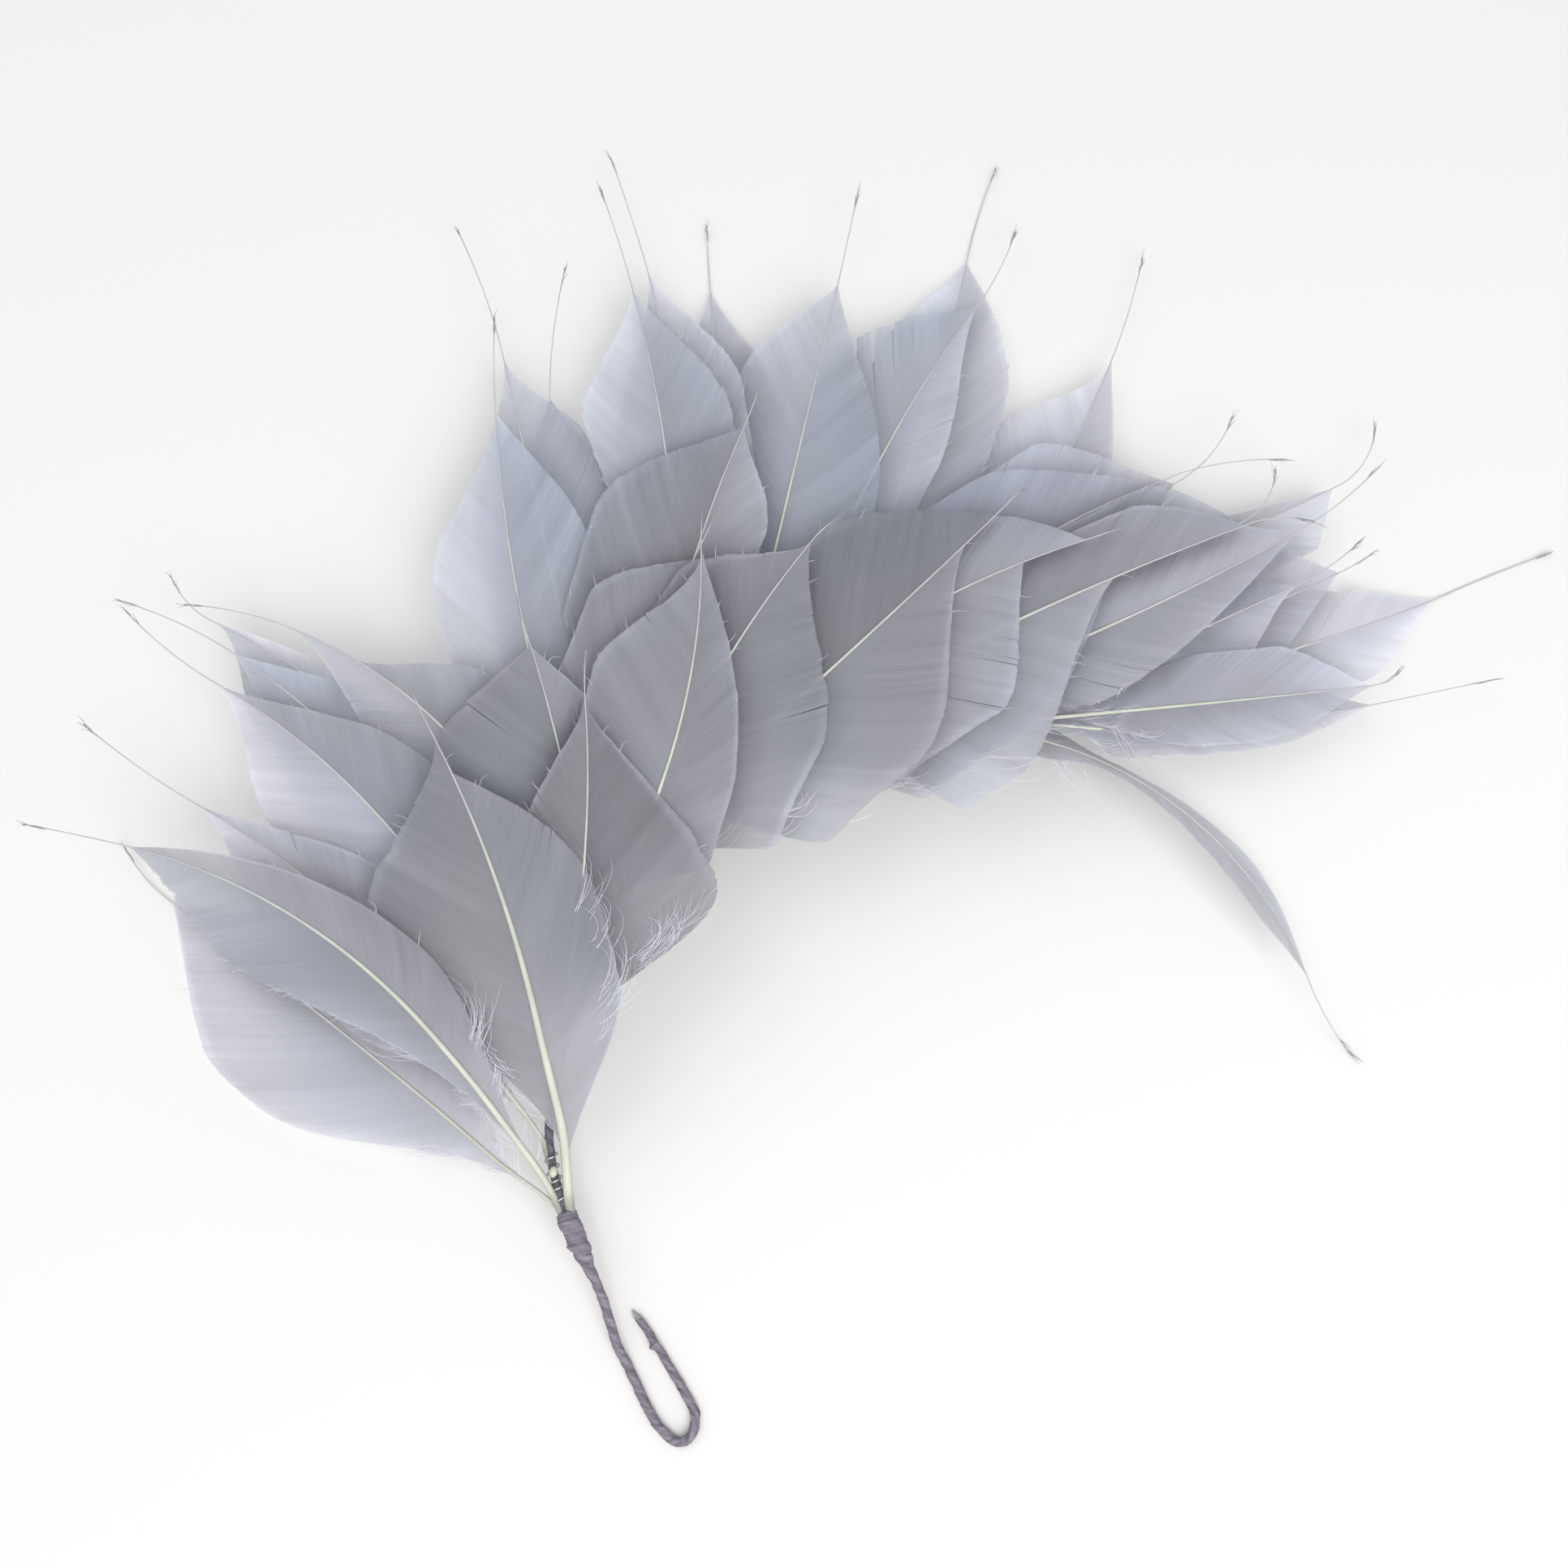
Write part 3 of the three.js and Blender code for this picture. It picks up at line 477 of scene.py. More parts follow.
class Feather:
    """One feather's middle line and the surface that its vanes lie in."""

    def __init__(self, name, fields, number):
        self.name = name
        self.__dict__.update(fields)
        self.halves = (self.left, self.right)
        self.rng = np.random.default_rng(number)
        self.spike_part = self.spike / self.length
        self.end = 1 + self.spike_part
        self.line = self.middle_line()
        self.pushed = None
        self.shade = None
        self.ripples = self.rng.uniform(0, 2 * np.pi, (2, 3))

    def middle_line(self):
        foot = spine.at(self.at)
        along = spine.direction(np.array(self.at, float))
        spine_heading = math.atan2(along[1], along[0])
        bound = self.at < BINDING_START + BINDING_LENGTH
        reach = SPINE_RADIUS + QUILL_RADIUS + SOLID_GAP + (BINDING_ROOM if bound else 0)
        sideways = math.cos(math.radians(self.foot)) * reach
        foot_lift = math.sin(math.radians(self.foot)) * reach
        fraction = np.linspace(0, self.end, PATH_STEPS + 1)
        step = fraction[1] * self.length
        past = np.maximum(0, fraction - 1) / self.spike_part
        heading = np.radians(self.heading - self.bend / 2 + self.bend * np.minimum(fraction, 1)
                             + self.spikeTurn * past)
        moves = np.stack([np.cos(heading), np.sin(heading)], -1) * step
        start = foot[:2] + sideways * np.array([-math.sin(spine_heading), math.cos(spine_heading)])
        plan = start + np.vstack([[0, 0], np.cumsum(moves[:-1], axis=0)])
        hug = (SPINE_RADIUS + 0.6 * self.quill) / reach
        loose = 1 - (1 - hug) * (1 - smooth(fraction, 0, HUG_DONE_AT))
        plan = plan + (start - foot[:2]) * (loose - 1)[:, None]
        raised = smooth(fraction, 0, LIFT_DONE_AT)
        curled = np.maximum(0, np.minimum(fraction, 1) - 0.5) / 0.5
        z = (dome_height(plan[:, 0], plan[:, 1]) + foot_lift * loose * (1 - raised) + self.lift * raised
             + self.curl * curled ** 2 + self.spikeRise * past ** 2)
        return dict(fraction=fraction, heading=heading, x=plan[:, 0], y=plan[:, 1], z=z)

    def on_line(self, key, fraction):
        return np.interp(fraction, self.line["fraction"], self.line[key])

    def width(self, side, fraction):
        """The vane's half width on one side at a fraction of the length."""
        shoulder = self.shoulder[side]
        ogee = self.ogee[side]
        end = self.ends[side]
        left = np.clip((end - fraction) / (end - shoulder), 0, 1)
        cut = (1 - ogee) * np.sin(np.pi / 2 * left) + ogee * smooth(left, 0, 1)
        return self.halves[side] * smooth(fraction, VANE_START, self.widest[side]) * cut

    def width_beside(self, fraction, aside):
        return np.where(aside >= 0, self.width(LEFT, fraction), self.width(RIGHT, fraction))

    def surface(self, fraction, aside):
        """Points of the vane. aside is the distance from the quill, positive to the left."""
        heading = self.on_line("heading", fraction)
        turned = (self.roll * smooth(fraction, 0, LIFT_DONE_AT)
                  + self.twist * smooth(fraction, TWIST_STARTS, TWIST_ENDS))
        roll = np.radians(turned)
        side = np.where(aside >= 0, LEFT, RIGHT)
        widths = self.width_beside(fraction, aside)
        full = np.where(side == LEFT, *self.halves)
        share = widths / full
        ratio = np.abs(aside) / np.maximum(widths, 1)
        x = self.on_line("x", fraction) - np.sin(heading) * np.cos(roll) * aside
        y = self.on_line("y", fraction) + np.cos(heading) * np.cos(roll) * aside
        z = self.on_line("z", fraction) - np.sin(roll) * aside
        z = z - CAMBER * full * share * np.minimum(ratio, 1.1) ** 2
        edge = np.where(side == LEFT, *self.curled) * EDGE_ROLL * smooth(ratio, ROLL_STARTS, 1.05) ** 2
        ripple = sum(part * np.sin(turns * fraction + self.ripples[side][..., i])
                     for i, (turns, part) in enumerate(RIPPLES))
        z = z + (edge + RIPPLE_HEIGHT * ripple * np.minimum(ratio, 1.2) ** 2) * share
        if self.pushed is not None:
            z = z - self.from_grid(self.pushed, fraction, aside)
        return np.stack([x, y, np.maximum(z, LOWEST)], -1)

    # Giving way to the feathers above

    ALONG = 220
    ACROSS = 31

    def grid(self):
        fraction = np.linspace(0, self.end, self.ALONG)[:, None]
        share = np.linspace(-1, 1, self.ACROSS)[None]
        widest = np.where(share >= 0, *self.halves)
        return np.broadcast_arrays(fraction, share * widest)

    def from_grid(self, values, fraction, aside):
        row = np.clip(fraction / self.end * (self.ALONG - 1), 0, self.ALONG - 1.001)
        share = np.clip(aside / np.where(aside >= 0, *self.halves), -1, 1)
        column = np.clip((share + 1) / 2 * (self.ACROSS - 1), 0, self.ACROSS - 1.001)
        i, j = row.astype(int), column.astype(int)
        u, v = row - i, column - j
        return ((1 - u) * ((1 - v) * values[i, j] + v * values[i, j + 1])
                + u * ((1 - v) * values[i + 1, j] + v * values[i + 1, j + 1]))


def spread(grid, reach):
    """Widens the high places of a grid by reach cells each way, then smooths it as far."""
    for _ in range(reach):
        padded = np.pad(grid, 1, mode="edge")
        grid = np.max([padded[1:-1, 1:-1], padded[:-2, 1:-1], padded[2:, 1:-1],
                       padded[1:-1, :-2], padded[1:-1, 2:]], axis=0)
    for _ in range(2 * reach):
        padded = np.pad(grid, 1, mode="edge")
        grid = (padded[:-2, 1:-1] + padded[2:, 1:-1] + padded[1:-1, :-2] + padded[1:-1, 2:]
                + 2 * padded[1:-1, 1:-1]) / 6
    return grid


def averaged(grid, reach):
    """A grid averaged over reach cells each way, twice."""
    width = 2 * reach + 1
    for _ in range(2):
        for _ in range(2):
            padded = np.pad(grid, ((reach + 1, reach), (0, 0)), mode="edge")
            total = np.cumsum(padded, axis=0)
            grid = ((total[width:] - total[:-width]) / width).T
    return grid


class Layers:
    """The lowest height reached so far over each cell of the surface the mount lies on."""

    CELL = 1.5
    HALF = 270

    def __init__(self):
        cells = int(2 * self.HALF / self.CELL)
        self.low = np.full((cells, cells), np.inf)

    def cells(self, points):
        return tuple(((points[..., axis] + self.HALF) / self.CELL).astype(int) for axis in (0, 1))

    def room(self, points):
        return self.low[self.cells(points)]

    def cover(self, points):
        """How much of the surface round each point lies under the feathers so far, from 0 to 1."""
        cover = averaged(np.isfinite(self.low).astype(float), SHADE_REACH)
        return np.minimum(cover, MOST_COVER)[self.cells(points)]

    def add(self, points):
        np.minimum.at(self.low, self.cells(points), points[..., 2])


def settle(feathers):
    """Pushes each feather down where it would rise through one that lies on top of it."""
    layers = Layers()
    for feather in sorted(feathers, key=lambda feather: -feather.lift):
        fraction, aside = feather.grid()
        points = feather.surface(fraction, aside)
        width = feather.width_beside(fraction, aside)
        inside = (np.abs(aside) <= width + 1) & (fraction > VANE_START)
        over = points[..., 2] - (layers.room(points) - LAYER_GAP)
        feather.pushed = spread(np.where(inside, np.maximum(over, 0), 0), LAYER_SPREAD)
        # How much painted shade each point gets from the feathers that lie on top of it
        feather.shade = layers.cover(points)
        layers.add(feather.surface(fraction, aside)[inside])


def swept(slant, out, half_width):
    """How far forward a barb has come at a distance out from the quill."""
    return slant * out * (1 + SWEEP * out / half_width)


def barb_ends(feather, side, base, slant):
    """How far out each barb meets the vane's outline, by halving the interval."""
    low = np.zeros_like(base)
    high = np.full_like(base, feather.halves[side] * 1.02)
    for _ in range(HALVINGS):
        middle = (low + high) / 2
        forward = swept(slant, middle, feather.halves[side])
        inside = feather.width(side, base + forward / feather.length) > middle
        low = np.where(inside, middle, low)
        high = np.where(inside, high, middle)
    return low


def clump_bounds(feather, side, rows):
    """Where the vane is split: the rows, how wide each split opens and how deep it starts."""
    rng = feather.rng
    count = int(rng.integers(FEWEST_CLUMPS, 2 * FEWEST_CLUMPS + 1))
    where = list(rng.uniform(*SPLIT_PLACES, count))
    opening = list(rng.uniform(0, SPLIT_OPENING, count))
    depth = list(rng.uniform(*SPLIT_DEPTHS, count))
    for tear_side, fraction, width, start in feather.tears:
        if tear_side == side:
            where.append(fraction)
            opening.append(width)
            depth.append(start)
    order = np.argsort(where)
    at = np.clip((np.array(where)[order] * rows).astype(int), 3, rows - 4)
    at, first = np.unique(at, return_index=True)
    return at, np.array(opening)[order][first], np.array(depth)[order][first]


def uneven(rng, rows, waves):
    """A smoothly changing random factor down the rows. waves: each its knots and its amount."""
    factor = 0
    for knots, amount in waves:
        places = np.linspace(0, rows, knots)
        factor = factor + amount * np.interp(np.arange(rows), places, rng.normal(0, 1, knots))
    return factor


def vane_colours(feather, side, v, fraction, aside, tone):
    """The colour of a side: its dye, made lighter or darker by tone and by painted light and shade, and how
    solid it is.
    """
    tint_phase, rim_phase, _ = feather.ripples[side]
    # Painted light and shade: a highlight along the rim, and the vane darker by the quill and lighter
    # towards its edge
    rim_highlight = RIM_HIGHLIGHT * (1.1 + np.sin(7 * fraction + rim_phase)) * smooth(v, RIM_STARTS, RIM_ENDS)
    tone = tone * feather.tone[side] * (PAINTED_ROOT_SHADE + PAINTED_EDGE_LIGHT * v ** 1.5 + rim_highlight / feather.tone[side] ** 2)
    tone = tone * (1 + 0.05 * np.sin(4 * fraction + 2 * v + tint_phase))
    # Painted shade beside and under the feathers that lie on top
    tone = tone * (1 - SHADE_DEPTH * feather.from_grid(feather.shade, fraction, aside))
    warmth = feather.warmth[side] + WARMTH_CHANGE * np.sin(6 * fraction + 2 * v + rim_phase)
    warm = np.clip(warmth, 0, 1)[..., None]
    cool = np.clip(-warmth, 0, 1)[..., None]
    colour = DYE + warm * (WARM_DYE - DYE) + cool * (COOL_DYE - DYE)
    foot = smooth(fraction, VANE_START, VANE_START + FOOT_FADE)
    alpha = MOST_SOLID - feather.sheer[side] - THINNING * v ** 2
    alpha = alpha * (FOOT_SOLID + (1 - FOOT_SOLID) * foot) * (1 - EDGE_FADE * smooth(v, 0.95, 1))
    return np.concatenate([colour * tone[..., None], alpha[..., None]], -1)


def vane(build, feather, side):
    """One side's barbs: a sheet for each clump between two splits."""
    rng = feather.rng
    rows = int(feather.length * (VANE_STOP - VANE_START) / BARB_SPACING)
    base = np.linspace(VANE_START, VANE_STOP, rows)
    slant = np.interp(base, LEAN_AT, LEAN)
    half_width = feather.halves[side]
    ragged = feather.ragged[side]
    outline = [(16, 0.007), (70, 0.0015 + 0.022 * ragged)]
    ends = barb_ends(feather, side, base, slant)
    ends = ends * (1 + uneven(rng, rows, outline) + rng.normal(0, 0.002 + 0.014 * ragged, rows))
    folds = uneven(rng, rows, FOLDS)
    bands = uneven(rng, rows, BANDS)
    barb_tone = rng.normal(0, BARB_CHANGE, rows)
    bounds, opening, depth = clump_bounds(feather, side, rows)
    edges = [0, *bounds, rows]
    v = BARB_COLUMNS[None]

    def parted(split, share):
        """How far the barbs beside a split are bent away from it."""
        loose = np.clip((v - depth[split]) / (1 - depth[split]), 0, None) ** SPLIT_CURVE
        return share ** SPLIT_FADE * loose * opening[split] / 2

    for clump, (start, stop) in enumerate(zip(edges[:-1], edges[1:])):
        low_row = max(start - 1, 0)
        chosen = slice(low_row, stop)
        share = np.linspace(0, 1, stop - low_row)[:, None]
        shift = np.zeros((stop - low_row, len(BARB_COLUMNS)))
        if clump > 0:
            shift += parted(clump - 1, 1 - share)
        if stop < rows:
            shift -= parted(clump, share)
        out = v * ends[chosen, None]
        forward = swept(slant[chosen, None], out, half_width) + shift
        fraction = base[chosen, None] + forward / feather.length
        aside = SIGNS[side] * out
        points = feather.surface(fraction, aside)
        fold = folds[chosen, None]
        fold_height = FOLD_HEIGHT * fold * v * smooth(ends[chosen, None], 0, half_width)
        points[..., 2] = np.maximum(points[..., 2] + fold_height, LOWEST)
        # Each barb's own tone, and painted light and shade on the folds: lighter where a fold rises, darker
        # where it sinks
        tone = (1 + barb_tone[chosen, None]) * (1 + fold * (0.4 + v))
        tone = tone * (1 + bands[chosen, None] * (0.3 + v))
        along = np.broadcast_to(base[chosen, None] * feather.length, tone.shape)
        places = np.stack([along / 100 + feather.ripples[side, 2], np.broadcast_to(v, tone.shape)], -1)
        build.sheet(points, vane_colours(feather, side, v, fraction, aside, tone), places)


def quill(build, feather):
    """The round quill, from where it is bound to the wire to its bare tip."""
    sides = 8
    fraction = np.linspace(0, feather.end, QUILL_RINGS)
    places = feather.surface(fraction, np.zeros(QUILL_RINGS))
    radii = np.where(
        fraction < 1,
        TIP_RADIUS + (feather.quill - TIP_RADIUS) * np.clip(1 - fraction, 0, 1) ** QUILL_TAPER,
        np.interp(fraction, [1, feather.end], [TIP_RADIUS, SPIKE_RADIUS]),
    )
    places[:, 2] += 0.3 * radii
    places[:, 2] = np.maximum(places[:, 2], radii)
    back = np.linspace(-BOUND_QUILL, -1, BOUND_RINGS)
    beside = places[0] - bundle(feather.at)[0]
    closing = 1 + 0.06 * back[:, None]
    bound = np.array([bundle(feather.at + step)[0] for step in back]) + beside * closing
    places = np.vstack([bound, places])
    fraction = np.concatenate([back / feather.length, fraction])
    radii = np.concatenate([np.linspace(0.6, 1, BOUND_RINGS) * feather.quill, radii])
    knot = np.exp(-((fraction - feather.knot) / KNOT_WIDTH) ** 2)
    radii = radii + KNOT_HEIGHT * knot
    ways = unit(np.gradient(places, axis=0))
    grey = smooth(fraction, *GREY_PART)[:, None]
    dusk = smooth(-fraction, -0.02, 0.02)[:, None]
    brown = smooth((fraction - 1) / feather.spike_part, *BROWN_PART)[:, None]
    colour = QUILL_CREAM + grey * (QUILL_GREY - QUILL_CREAM)
    colour = colour + brown * (SPIKE_BROWN - colour)
    colour = colour * (1 - BOUND_DARKNESS * dusk) * (1 - KNOT_DARKNESS * knot[:, None])
    mottle = 1 + 0.04 * np.sin(fraction * 60 + feather.ripples[0, 0])[:, None]
    # Painted light: the top of the quill lighter than its sides
    upper = np.sin(2 * np.pi * np.arange(sides) / sides)
    shade = 0.86 + 0.2 * np.maximum(upper, 0)
    colours = (colour * mottle)[:, None] * shade[None, :, None]
    build.tube(places, ways, radii, with_alpha(colours), sides, slot=1, flat=QUILL_FLATNESS)


# Hairs: those of a tuft of down, strays at the vane's edge, and the tip of the bare quill
HAIR_POINTS = 9
TUFT_HAIRS = (5, 13)
TUFT_LEAN = (0.5, 1.1)
TUFT_CURL = (-1.1, 0.6)
TUFT_RISE = (-0.6, 2.6)
TUFT_SIZE = (8, 20)
DOWN_WIDTH = (0.09, 0.17)
DOWN_SOLID = 0.32
STRAY_LENGTH = (1.5, 5)
STRAY_WIDTH = (0.12, 0.2)
STRAY_SOLID = 0.55
TIP_HAIRS = 9
TIP_REACH = (0.5, 7)
TIP_LENGTH = (3, 6)
TIP_WIDTH = (0.2, 0.34)
TIP_SOLID = 0.9


def hairs(build, rng, places, headings, lengths, bends, rises, widths, colour, alpha):
    """Thin hairs from the given places. bends: how far each turns, in radians."""
    share = np.linspace(0, 1, HAIR_POINTS)
    angle = headings[:, None] + bends[:, None] * share ** 1.3
    angle = angle + 0.12 * np.sin(6 * share + rng.uniform(0, 2 * np.pi, len(places))[:, None])
    step = (lengths / (HAIR_POINTS - 1))[:, None]
    moves = np.stack([np.cos(angle) * step, np.sin(angle) * step], -1)
    lines = np.repeat(places[:, None], HAIR_POINTS, axis=1)
    lines[:, 1:, :2] += np.cumsum(moves[:, :-1], axis=1)
    lines[..., 2] += rises[:, None] * np.sin(share * 2.2)
    lines[..., 2] = np.maximum(lines[..., 2], LOWEST)
    colours = with_alpha(np.broadcast_to(colour, (len(places), 3)), alpha)[:, None]
    build.ribbons(lines, widths[:, None] * (1 - 0.7 * share), colours, 2)


def tufts_of_down(build, feather, side):
    """Soft loose hairs in tufts along the foot of a vane."""
    rng = feather.rng
    sign = SIGNS[side]
    for _ in range(feather.down[side]):
        fraction = VANE_START + rng.uniform(0, 1) ** 0.6 * (feather.fluff[side] - VANE_START)
        count = int(rng.integers(*TUFT_HAIRS))
        at = fraction + rng.normal(0, 0.012, count)
        out = feather.width(side, at) * rng.uniform(0.7, 1, count)
        places = feather.surface(at, sign * out)
        lean = rng.uniform(*TUFT_LEAN)
        headings = feather.on_line("heading", at) + sign * (lean + rng.normal(0, 0.12, count))
        bend = sign * rng.normal(*TUFT_CURL)
        bends = bend + rng.normal(0, 0.25, count)
        size = rng.uniform(*TUFT_SIZE)
        lengths = size * rng.uniform(0.6, 1.1, count)
        rises = rng.uniform(*TUFT_RISE) + rng.normal(0, 0.5, count)
        widths = rng.uniform(*DOWN_WIDTH, count)
        shade = rng.uniform(0.95, 1.3, count)[:, None]
        hairs(build, rng, places, headings, lengths, bends, rises, widths, DOWN_COLOUR * shade,
              DOWN_SOLID)


def stray_hairs(build, feather, side):
    """A few single barb ends that have come away from the edge of the vane."""
    rng = feather.rng
    sign = SIGNS[side]
    count = 5 + int(30 * feather.ragged[side])
    at = rng.uniform(0.3, 0.95, count)
    places = feather.surface(at, sign * feather.width(side, at) * 0.97)
    headings = feather.on_line("heading", at) + sign * rng.uniform(0.2, 0.9, count)
    lengths = rng.uniform(*STRAY_LENGTH, count)
    bends = sign * rng.normal(0, 0.8, count)
    rises = rng.uniform(-0.3, 0.6, count)
    widths = rng.uniform(*STRAY_WIDTH, count)
    hairs(build, rng, places, headings, lengths, bends, rises, widths, DOWN_COLOUR, STRAY_SOLID)


def tip_tuft(build, feather):
    """The few short barbs left at the very end of the bare quill."""
    rng = feather.rng
    at = feather.end - rng.uniform(*TIP_REACH, TIP_HAIRS) / feather.length
    places = feather.surface(at, np.zeros(TIP_HAIRS))
    headings = feather.on_line("heading", at) + rng.normal(0, 0.1, TIP_HAIRS)
    lengths = rng.uniform(*TIP_LENGTH, TIP_HAIRS)
    bends = rng.normal(0, 0.15, TIP_HAIRS)
    rises = rng.uniform(-0.3, 0.3, TIP_HAIRS)
    widths = rng.uniform(*TIP_WIDTH, TIP_HAIRS)
    hairs(build, rng, places, headings, lengths, bends, rises, widths, SPIKE_BROWN, TIP_SOLID)


def make_feather(feather, materials):
    build = Build()
    vane(build, feather, LEFT)
    vane(build, feather, RIGHT)
    quill(build, feather)
    for side in (LEFT, RIGHT):
        tufts_of_down(build, feather, side)
        stray_hairs(build, feather, side)
    tip_tuft(build, feather)
    return build.object(feather.name + "_barbs", materials)


# The wires and the tape

def wrinkles(rng, along, angle, amount, waves=18):
    """Small folds that run aslant round a wrapped tube."""
    height = np.zeros_like(along * angle)
    for _ in range(waves):
        pitch = rng.uniform(*WRINKLE_PITCH)
        turns = rng.integers(*WRINKLE_TURNS)
        height = height + np.sin(2 * np.pi * along / pitch + turns * angle + rng.uniform(0, 6.3))
    return amount * height / math.sqrt(waves)


def wound_tube(build, route, start, end, radius_at, colour_at, seed, pitch, step, sides=30, spacing=0.25,
               lump=None, raise_to=None):
    """A tube wound with a strip of tape: each turn is pitch long, and its edge stands up by step.

    lump: its place along and round the tube, its length, its reach round the tube and its height.
    """
    rng = np.random.default_rng(seed)
    along = np.linspace(start, end, int((end - start) / spacing))
    places = route.at(along)
    ways = route.direction(along)
    angle = 2 * np.pi * np.arange(sides) / sides
    wander = 0.12 * np.sin(along / 2.3 + seed) + 0.1 * np.sin(along / 5.1)
    turn = (along[:, None] / pitch + wander[:, None] + angle / (2 * np.pi)) % 1
    edge = np.where(turn < TAPE_EDGE, turn / TAPE_EDGE, 1 - (turn - TAPE_EDGE) / (1 - TAPE_EDGE))
    radii = np.broadcast_to(radius_at(along), along.shape)[:, None] + step * (edge - 0.5)
    radii = radii + wrinkles(rng, along[:, None], angle, 0.3 * step + 0.03)
    if lump is not None:
        at, turned, length, reach, height = lump
        beside = np.exp(-((along[:, None] - at) / length) ** 2)
        radii = radii + height * beside * np.exp((np.cos(angle - turned) - 1) / reach)
    if raise_to is not None:
        places[:, 2] = np.maximum(places[:, 2], radii.max(axis=1) + raise_to)
    line = np.exp(-((turn - 0.02) / 0.03) ** 2)
    shade = 0.92 + EDGE_LIGHT * edge - EDGE_LINE * line
    shade = shade + wrinkles(rng, along[:, None], angle, WRINKLE_SHADE)
    colours = np.broadcast_to(colour_at(along), (len(along), 3))[:, None]
    colours = colours * np.clip(shade, DARKEST_FOLD, LIGHTEST_FOLD)[..., None]
    build.tube(places, ways, radii, with_alpha(colours), sides)


def make_collar(material):
    distances, radii = np.array(COLLAR_RINGS).T
    build = Build()
    wound_tube(build, foot_route, distances[0], distances[-1],
               lambda along: np.interp(along, distances, radii), lambda along: TAPE_COLOUR,
               seed=71, pitch=3.6, step=0.3, lump=COLLAR_LUMP)
    return build.object("tape_collar_wrap", [material])


def make_stem(material):
    end = foot_route.length
    build = Build()

    def radius_at(along):
        share = (along - STEM_START) / (end - STEM_START)
        thinned = np.clip((share - RETURN_STARTS) / (1 - RETURN_STARTS), 0, 1)
        radius = STEM_RADIUS + thinned * (HOOK_TIP_RADIUS - STEM_RADIUS)
        radius = radius + 0.55 * np.exp(-((along - STEM_START) / 4) ** 2)
        return radius * np.clip((end - along) / 2.2, 0.3, 1) ** 0.7

    def colour_at(along):
        bare = smooth(along, end - 3, end - 1)[:, None]
        return TAPE_COLOUR + bare * (HOOK_TIP_COLOUR - TAPE_COLOUR)

    wound_tube(build, foot_route, STEM_START, end, radius_at, colour_at, seed=72, pitch=9, step=0.16,
               lump=(end - HOOK_LUMP_AT, *HOOK_LUMP), raise_to=HOOK_CLEARANCE)
    return build.object("taped_stem_wrap", [material])


def make_spine(material):
    build = Build()
    wound_tube(build, spine, 0, spine.length, lambda along: SPINE_RADIUS, lambda along: WIRE_COLOUR,
               seed=73, pitch=2.6, step=0.12, sides=14, spacing=0.4)
    return build.object("spine_wire_wrap", [material])


def make_binding(material, glue):
    turn_radius = SPINE_RADIUS + BINDING_CLEARANCE
    angle = np.arange(BINDING_TURNS * STEPS_PER_TURN + 1) * 2 * np.pi / STEPS_PER_TURN
    share = angle / angle[-1]
    distance = BINDING_START + BINDING_LENGTH * (share + 0.03 * np.sin(9 * share))
    middle = spine.at(distance)
    way = spine.direction(distance)
    left = left_of(way)
    up = np.cross(way, left)
    places = (middle + turn_radius * np.cos(angle)[:, None] * left
              + turn_radius * np.sin(angle)[:, None] * up)
    ways = unit(np.gradient(places, axis=0))
    build = Build()
    build.tube(places, ways, np.full(len(places), BINDING_RADIUS), with_alpha(BINDING_COLOUR), 10)
    drop_half_length, drop_radius, drop_rings = 1.7, 1.25, 12
    drop_way = np.array([0.15, 0.98, 0.1])
    steps = np.linspace(-0.97, 0.97, drop_rings)
    middle = spine.at(GLUE_DROP_AT) + np.array([0.2, 0, 2.2])
    drop = middle + steps[:, None] * drop_half_length * drop_way
    build.tube(drop, np.tile(drop_way, (drop_rings, 1)), drop_radius * np.sqrt(1 - steps ** 2),
               with_alpha(QUILL_CREAM), 12, slot=1)
    return build.object("binding_wire_coil", [material, glue])


# Materials

BUMP_HEIGHT = 0.0002


def set_inputs(node, **values):
    """Sets a node's inputs. An underscore stands for a space in a name."""
    for name, value in values.items():
        node.inputs[name.replace("_", " ")].default_value = value


def new_material(name, **values):
    material = bpy.data.materials.new(name)
    material.use_nodes = True
    tree = material.node_tree
    shader = tree.nodes["Principled BSDF"]
    set_inputs(shader, **values)
    return material, tree, shader


def dye_and_shade_attribute(tree):
    node = tree.nodes.new("ShaderNodeVertexColor")
    node.layer_name = "dye_and_shade"
    return node


def noise(tree, vector, scale, detail, roughness):
    node = tree.nodes.new("ShaderNodeTexNoise")
    set_inputs(node, Scale=scale, Detail=detail, Roughness=roughness)
    tree.links.new(vector, node.inputs["Vector"])
    return node.outputs["Fac"]


def streaks(tree, across, along):
    """Noise drawn out along the barbs, from the barbs' own texture places."""
    places = tree.nodes.new("ShaderNodeUVMap")
    places.uv_map = "barbs"
    stretch = tree.nodes.new("ShaderNodeMapping")
    set_inputs(stretch, Scale=(across, along, 1))
    tree.links.new(places.outputs["UV"], stretch.inputs["Vector"])
    return noise(tree, stretch.outputs["Vector"], 1, 2, 0.6)


def scaled(tree, colour, factor, change):
    """A colour made up to change darker or lighter by a factor that runs from 0 to 1."""
    span = tree.nodes.new("ShaderNodeMapRange")
    set_inputs(span, To_Min=1 - change, To_Max=1 + change)
    tree.links.new(factor, span.inputs["Value"])
    product = tree.nodes.new("ShaderNodeVectorMath")
    product.operation = "SCALE"
    tree.links.new(colour, product.inputs[0])
    tree.links.new(span.outputs["Result"], product.inputs["Scale"])
    return product.outputs["Vector"]


def add_bump(tree, shader, height, strength):
    bump = tree.nodes.new("ShaderNodeBump")
    set_inputs(bump, Strength=strength, Distance=BUMP_HEIGHT)
    tree.links.new(height, bump.inputs["Height"])
    tree.links.new(bump.outputs["Normal"], shader.inputs["Normal"])


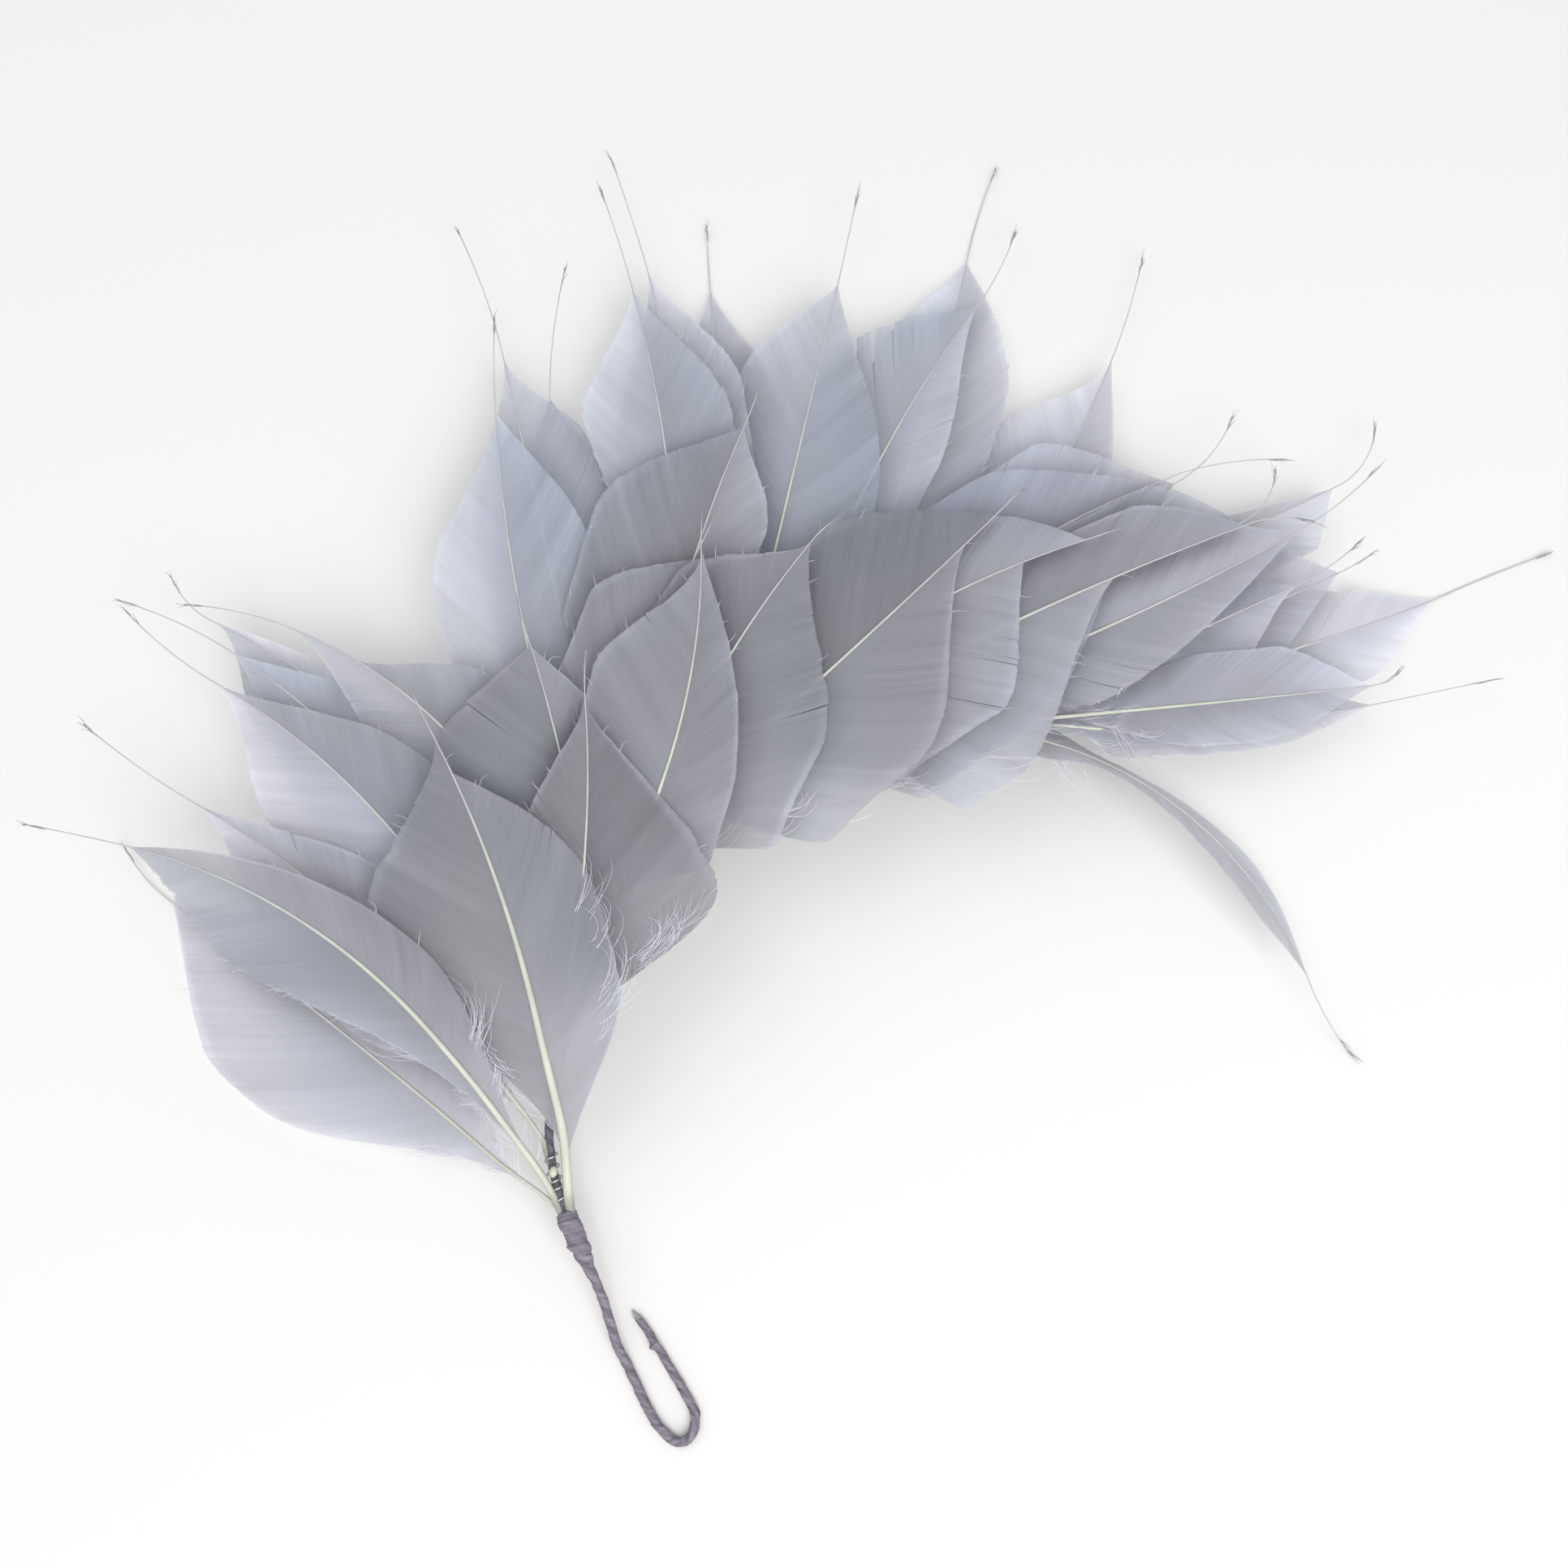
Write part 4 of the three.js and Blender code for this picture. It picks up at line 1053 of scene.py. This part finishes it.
def vane_material():
    """Dyed barbs, which let light through."""
    material, tree, shader = new_material("dyed_vane", Roughness=0.62, Specular_IOR_Level=0.3,
                                          Sheen_Weight=0.2, Sheen_Roughness=0.5)
    dye_and_shade = dye_and_shade_attribute(tree)
    fine = streaks(tree, across=130, along=2)
    broad = streaks(tree, across=22, along=0.9)
    colour = scaled(tree, dye_and_shade.outputs["Color"], fine, 0.06)
    colour = scaled(tree, colour, broad, 0.06)
    tree.links.new(colour, shader.inputs["Base Color"])
    tree.links.new(dye_and_shade.outputs["Alpha"], shader.inputs["Alpha"])
    add_bump(tree, shader, fine, strength=0.12)
    through = tree.nodes.new("ShaderNodeBsdfTranslucent")
    tree.links.new(colour, through.inputs["Color"])
    both = tree.nodes.new("ShaderNodeMixShader")
    set_inputs(both, Fac=0.5)
    output = tree.nodes["Material Output"]
    tree.links.new(shader.outputs["BSDF"], both.inputs[1])
    tree.links.new(through.outputs["BSDF"], both.inputs[2])
    tree.links.new(both.outputs["Shader"], output.inputs["Surface"])
    return material


def plain_material(name, roughness, grain, contrast, metallic=0.0, specular=0.4):
    """A surface coloured by its attribute of dye and painted light and shade, mottled by a noise of the
    given grain.
    """
    material, tree, shader = new_material(name, Roughness=roughness, Metallic=metallic,
                                          Specular_IOR_Level=specular)
    place = tree.nodes.new("ShaderNodeTexCoord")
    grains = noise(tree, place.outputs["Object"], grain, 4, 0.5)
    colour = scaled(tree, dye_and_shade_attribute(tree).outputs["Color"], grains, contrast)
    tree.links.new(colour, shader.inputs["Base Color"])
    add_bump(tree, shader, grains, strength=0.3)
    return material


# The floor, the lights and the camera

FLOOR_SIZE = 3.0
CAMERA_TILT = 76
CAMERA_DISTANCE = 510
FOCAL_PIXELS = 2071
IMAGE_PIXELS = 1932
SENSOR = 36
AIM_HEIGHT = 25.0
NEAREST = 0.01
FLOOR_COLOUR = (0.765, 0.755, 0.74, 1)
SKY_COLOUR = (0.97, 0.975, 1, 1)
SKY_STRENGTH = 0.66

# Each light's name, place, size, watts and colour, in metres
LIGHTS = [
    ("key", (0.5, -1.1, 1.3), 1.4, 24, (1, 0.99, 0.97)),
    ("fill", (-0.9, 0.5, 1.6), 1.6, 9, (0.97, 0.98, 1)),
]


def make_floor():
    half = FLOOR_SIZE / 2
    mesh = bpy.data.meshes.new("floor")
    mesh.from_pydata([(-half, -half, 0), (half, -half, 0), (half, half, 0), (-half, half, 0)], [],
                     [(0, 1, 2, 3)])
    material, _, _ = new_material("floor_paint", Base_Color=FLOOR_COLOUR, Roughness=0.9,
                                  Specular_IOR_Level=0.1)
    mesh.materials.append(material)
    floor = placed("floor", mesh)


def area_light(name, place, size, watts, colour):
    light = bpy.data.lights.new(name, "AREA")
    light.shape = "SQUARE"
    light.size = size
    light.energy = watts
    light.color = colour
    thing = placed(name, light)
    thing.location = place
    way = -np.array(place)
    pitch = math.acos(-way[2] / np.linalg.norm(way))
    thing.rotation_euler = (pitch, 0, math.atan2(way[1], way[0]) - math.pi / 2)


def make_lights():
    for light in LIGHTS:
        area_light(*light)
    world = bpy.data.worlds.new("studio")
    world.use_nodes = True
    set_inputs(world.node_tree.nodes["Background"], Color=SKY_COLOUR, Strength=SKY_STRENGTH)
    bpy.context.scene.world = world
    bpy.context.scene.view_settings.view_transform = "Standard"


def make_camera():
    tilt = math.radians(CAMERA_TILT)
    forward = np.array([0, math.cos(tilt), -math.sin(tilt)])
    aim = np.array([0, 0, AIM_HEIGHT])
    lens = bpy.data.cameras.new("camera")
    lens.sensor_width = SENSOR
    lens.lens = FOCAL_PIXELS / IMAGE_PIXELS * SENSOR
    lens.clip_start = NEAREST
    camera = placed("camera", lens)
    camera.location = packed_frame(aim - CAMERA_DISTANCE * forward)
    camera.rotation_euler = (math.radians(90 - CAMERA_TILT), 0, 0)
    bpy.context.scene.camera = camera


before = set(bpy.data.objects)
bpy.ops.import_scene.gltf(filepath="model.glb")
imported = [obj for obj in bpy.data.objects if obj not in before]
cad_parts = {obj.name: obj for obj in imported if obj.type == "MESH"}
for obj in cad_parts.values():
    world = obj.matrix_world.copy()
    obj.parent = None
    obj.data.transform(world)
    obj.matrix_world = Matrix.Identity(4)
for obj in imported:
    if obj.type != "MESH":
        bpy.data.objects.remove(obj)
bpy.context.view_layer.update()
spine_low, spine_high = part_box("spine_wire")
drawn_at = np.array([
    spine_high.x / METRES - SPINE_BOX_RIGHT,
    spine_low.y / METRES - SPINE_BOX_FRONT,
    0,
])

make_camera()
make_floor()
make_lights()

vane_finish = vane_material()
quill_finish = plain_material("quill", roughness=0.42, grain=900, contrast=0.12)
down_finish = plain_material("down", roughness=0.7, grain=400, contrast=0.1, specular=0.1)
tape_finish = plain_material("paper_tape", roughness=0.85, grain=1300, contrast=0.35, specular=0.2)
wire_finish = plain_material("covered_wire", roughness=0.8, grain=900, contrast=0.3, specular=0.2)
coil_finish = plain_material("binding", roughness=0.35, grain=500, contrast=0.3, metallic=1.0)
glue_finish = plain_material("glue", roughness=0.15, grain=300, contrast=0.1, specular=0.6)

feathers = [
    Feather(f"{place}_feather_{index + 1}", USUAL | SHARED.get(place, {}) | row, 100 * group + index)
    for group, (place, rows) in enumerate(SPRAY.items())
    for index, row in enumerate(rows)
]
settle(feathers)
feather_finishes = [vane_finish, quill_finish, down_finish]
pieces = [(make_feather(feather, feather_finishes), feather.name, "vane") for feather in feathers]
pieces += [
    (make_collar(tape_finish), "tape_collar", "tape"),
    (make_stem(tape_finish), "taped_stem", "tape"),
    (make_spine(wire_finish), "spine_wire", "wire"),
    (make_binding(coil_finish, glue_finish), "binding_wire", "binding"),
]
for piece, node, slot in pieces:
    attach(piece, "root")
    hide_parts(node)
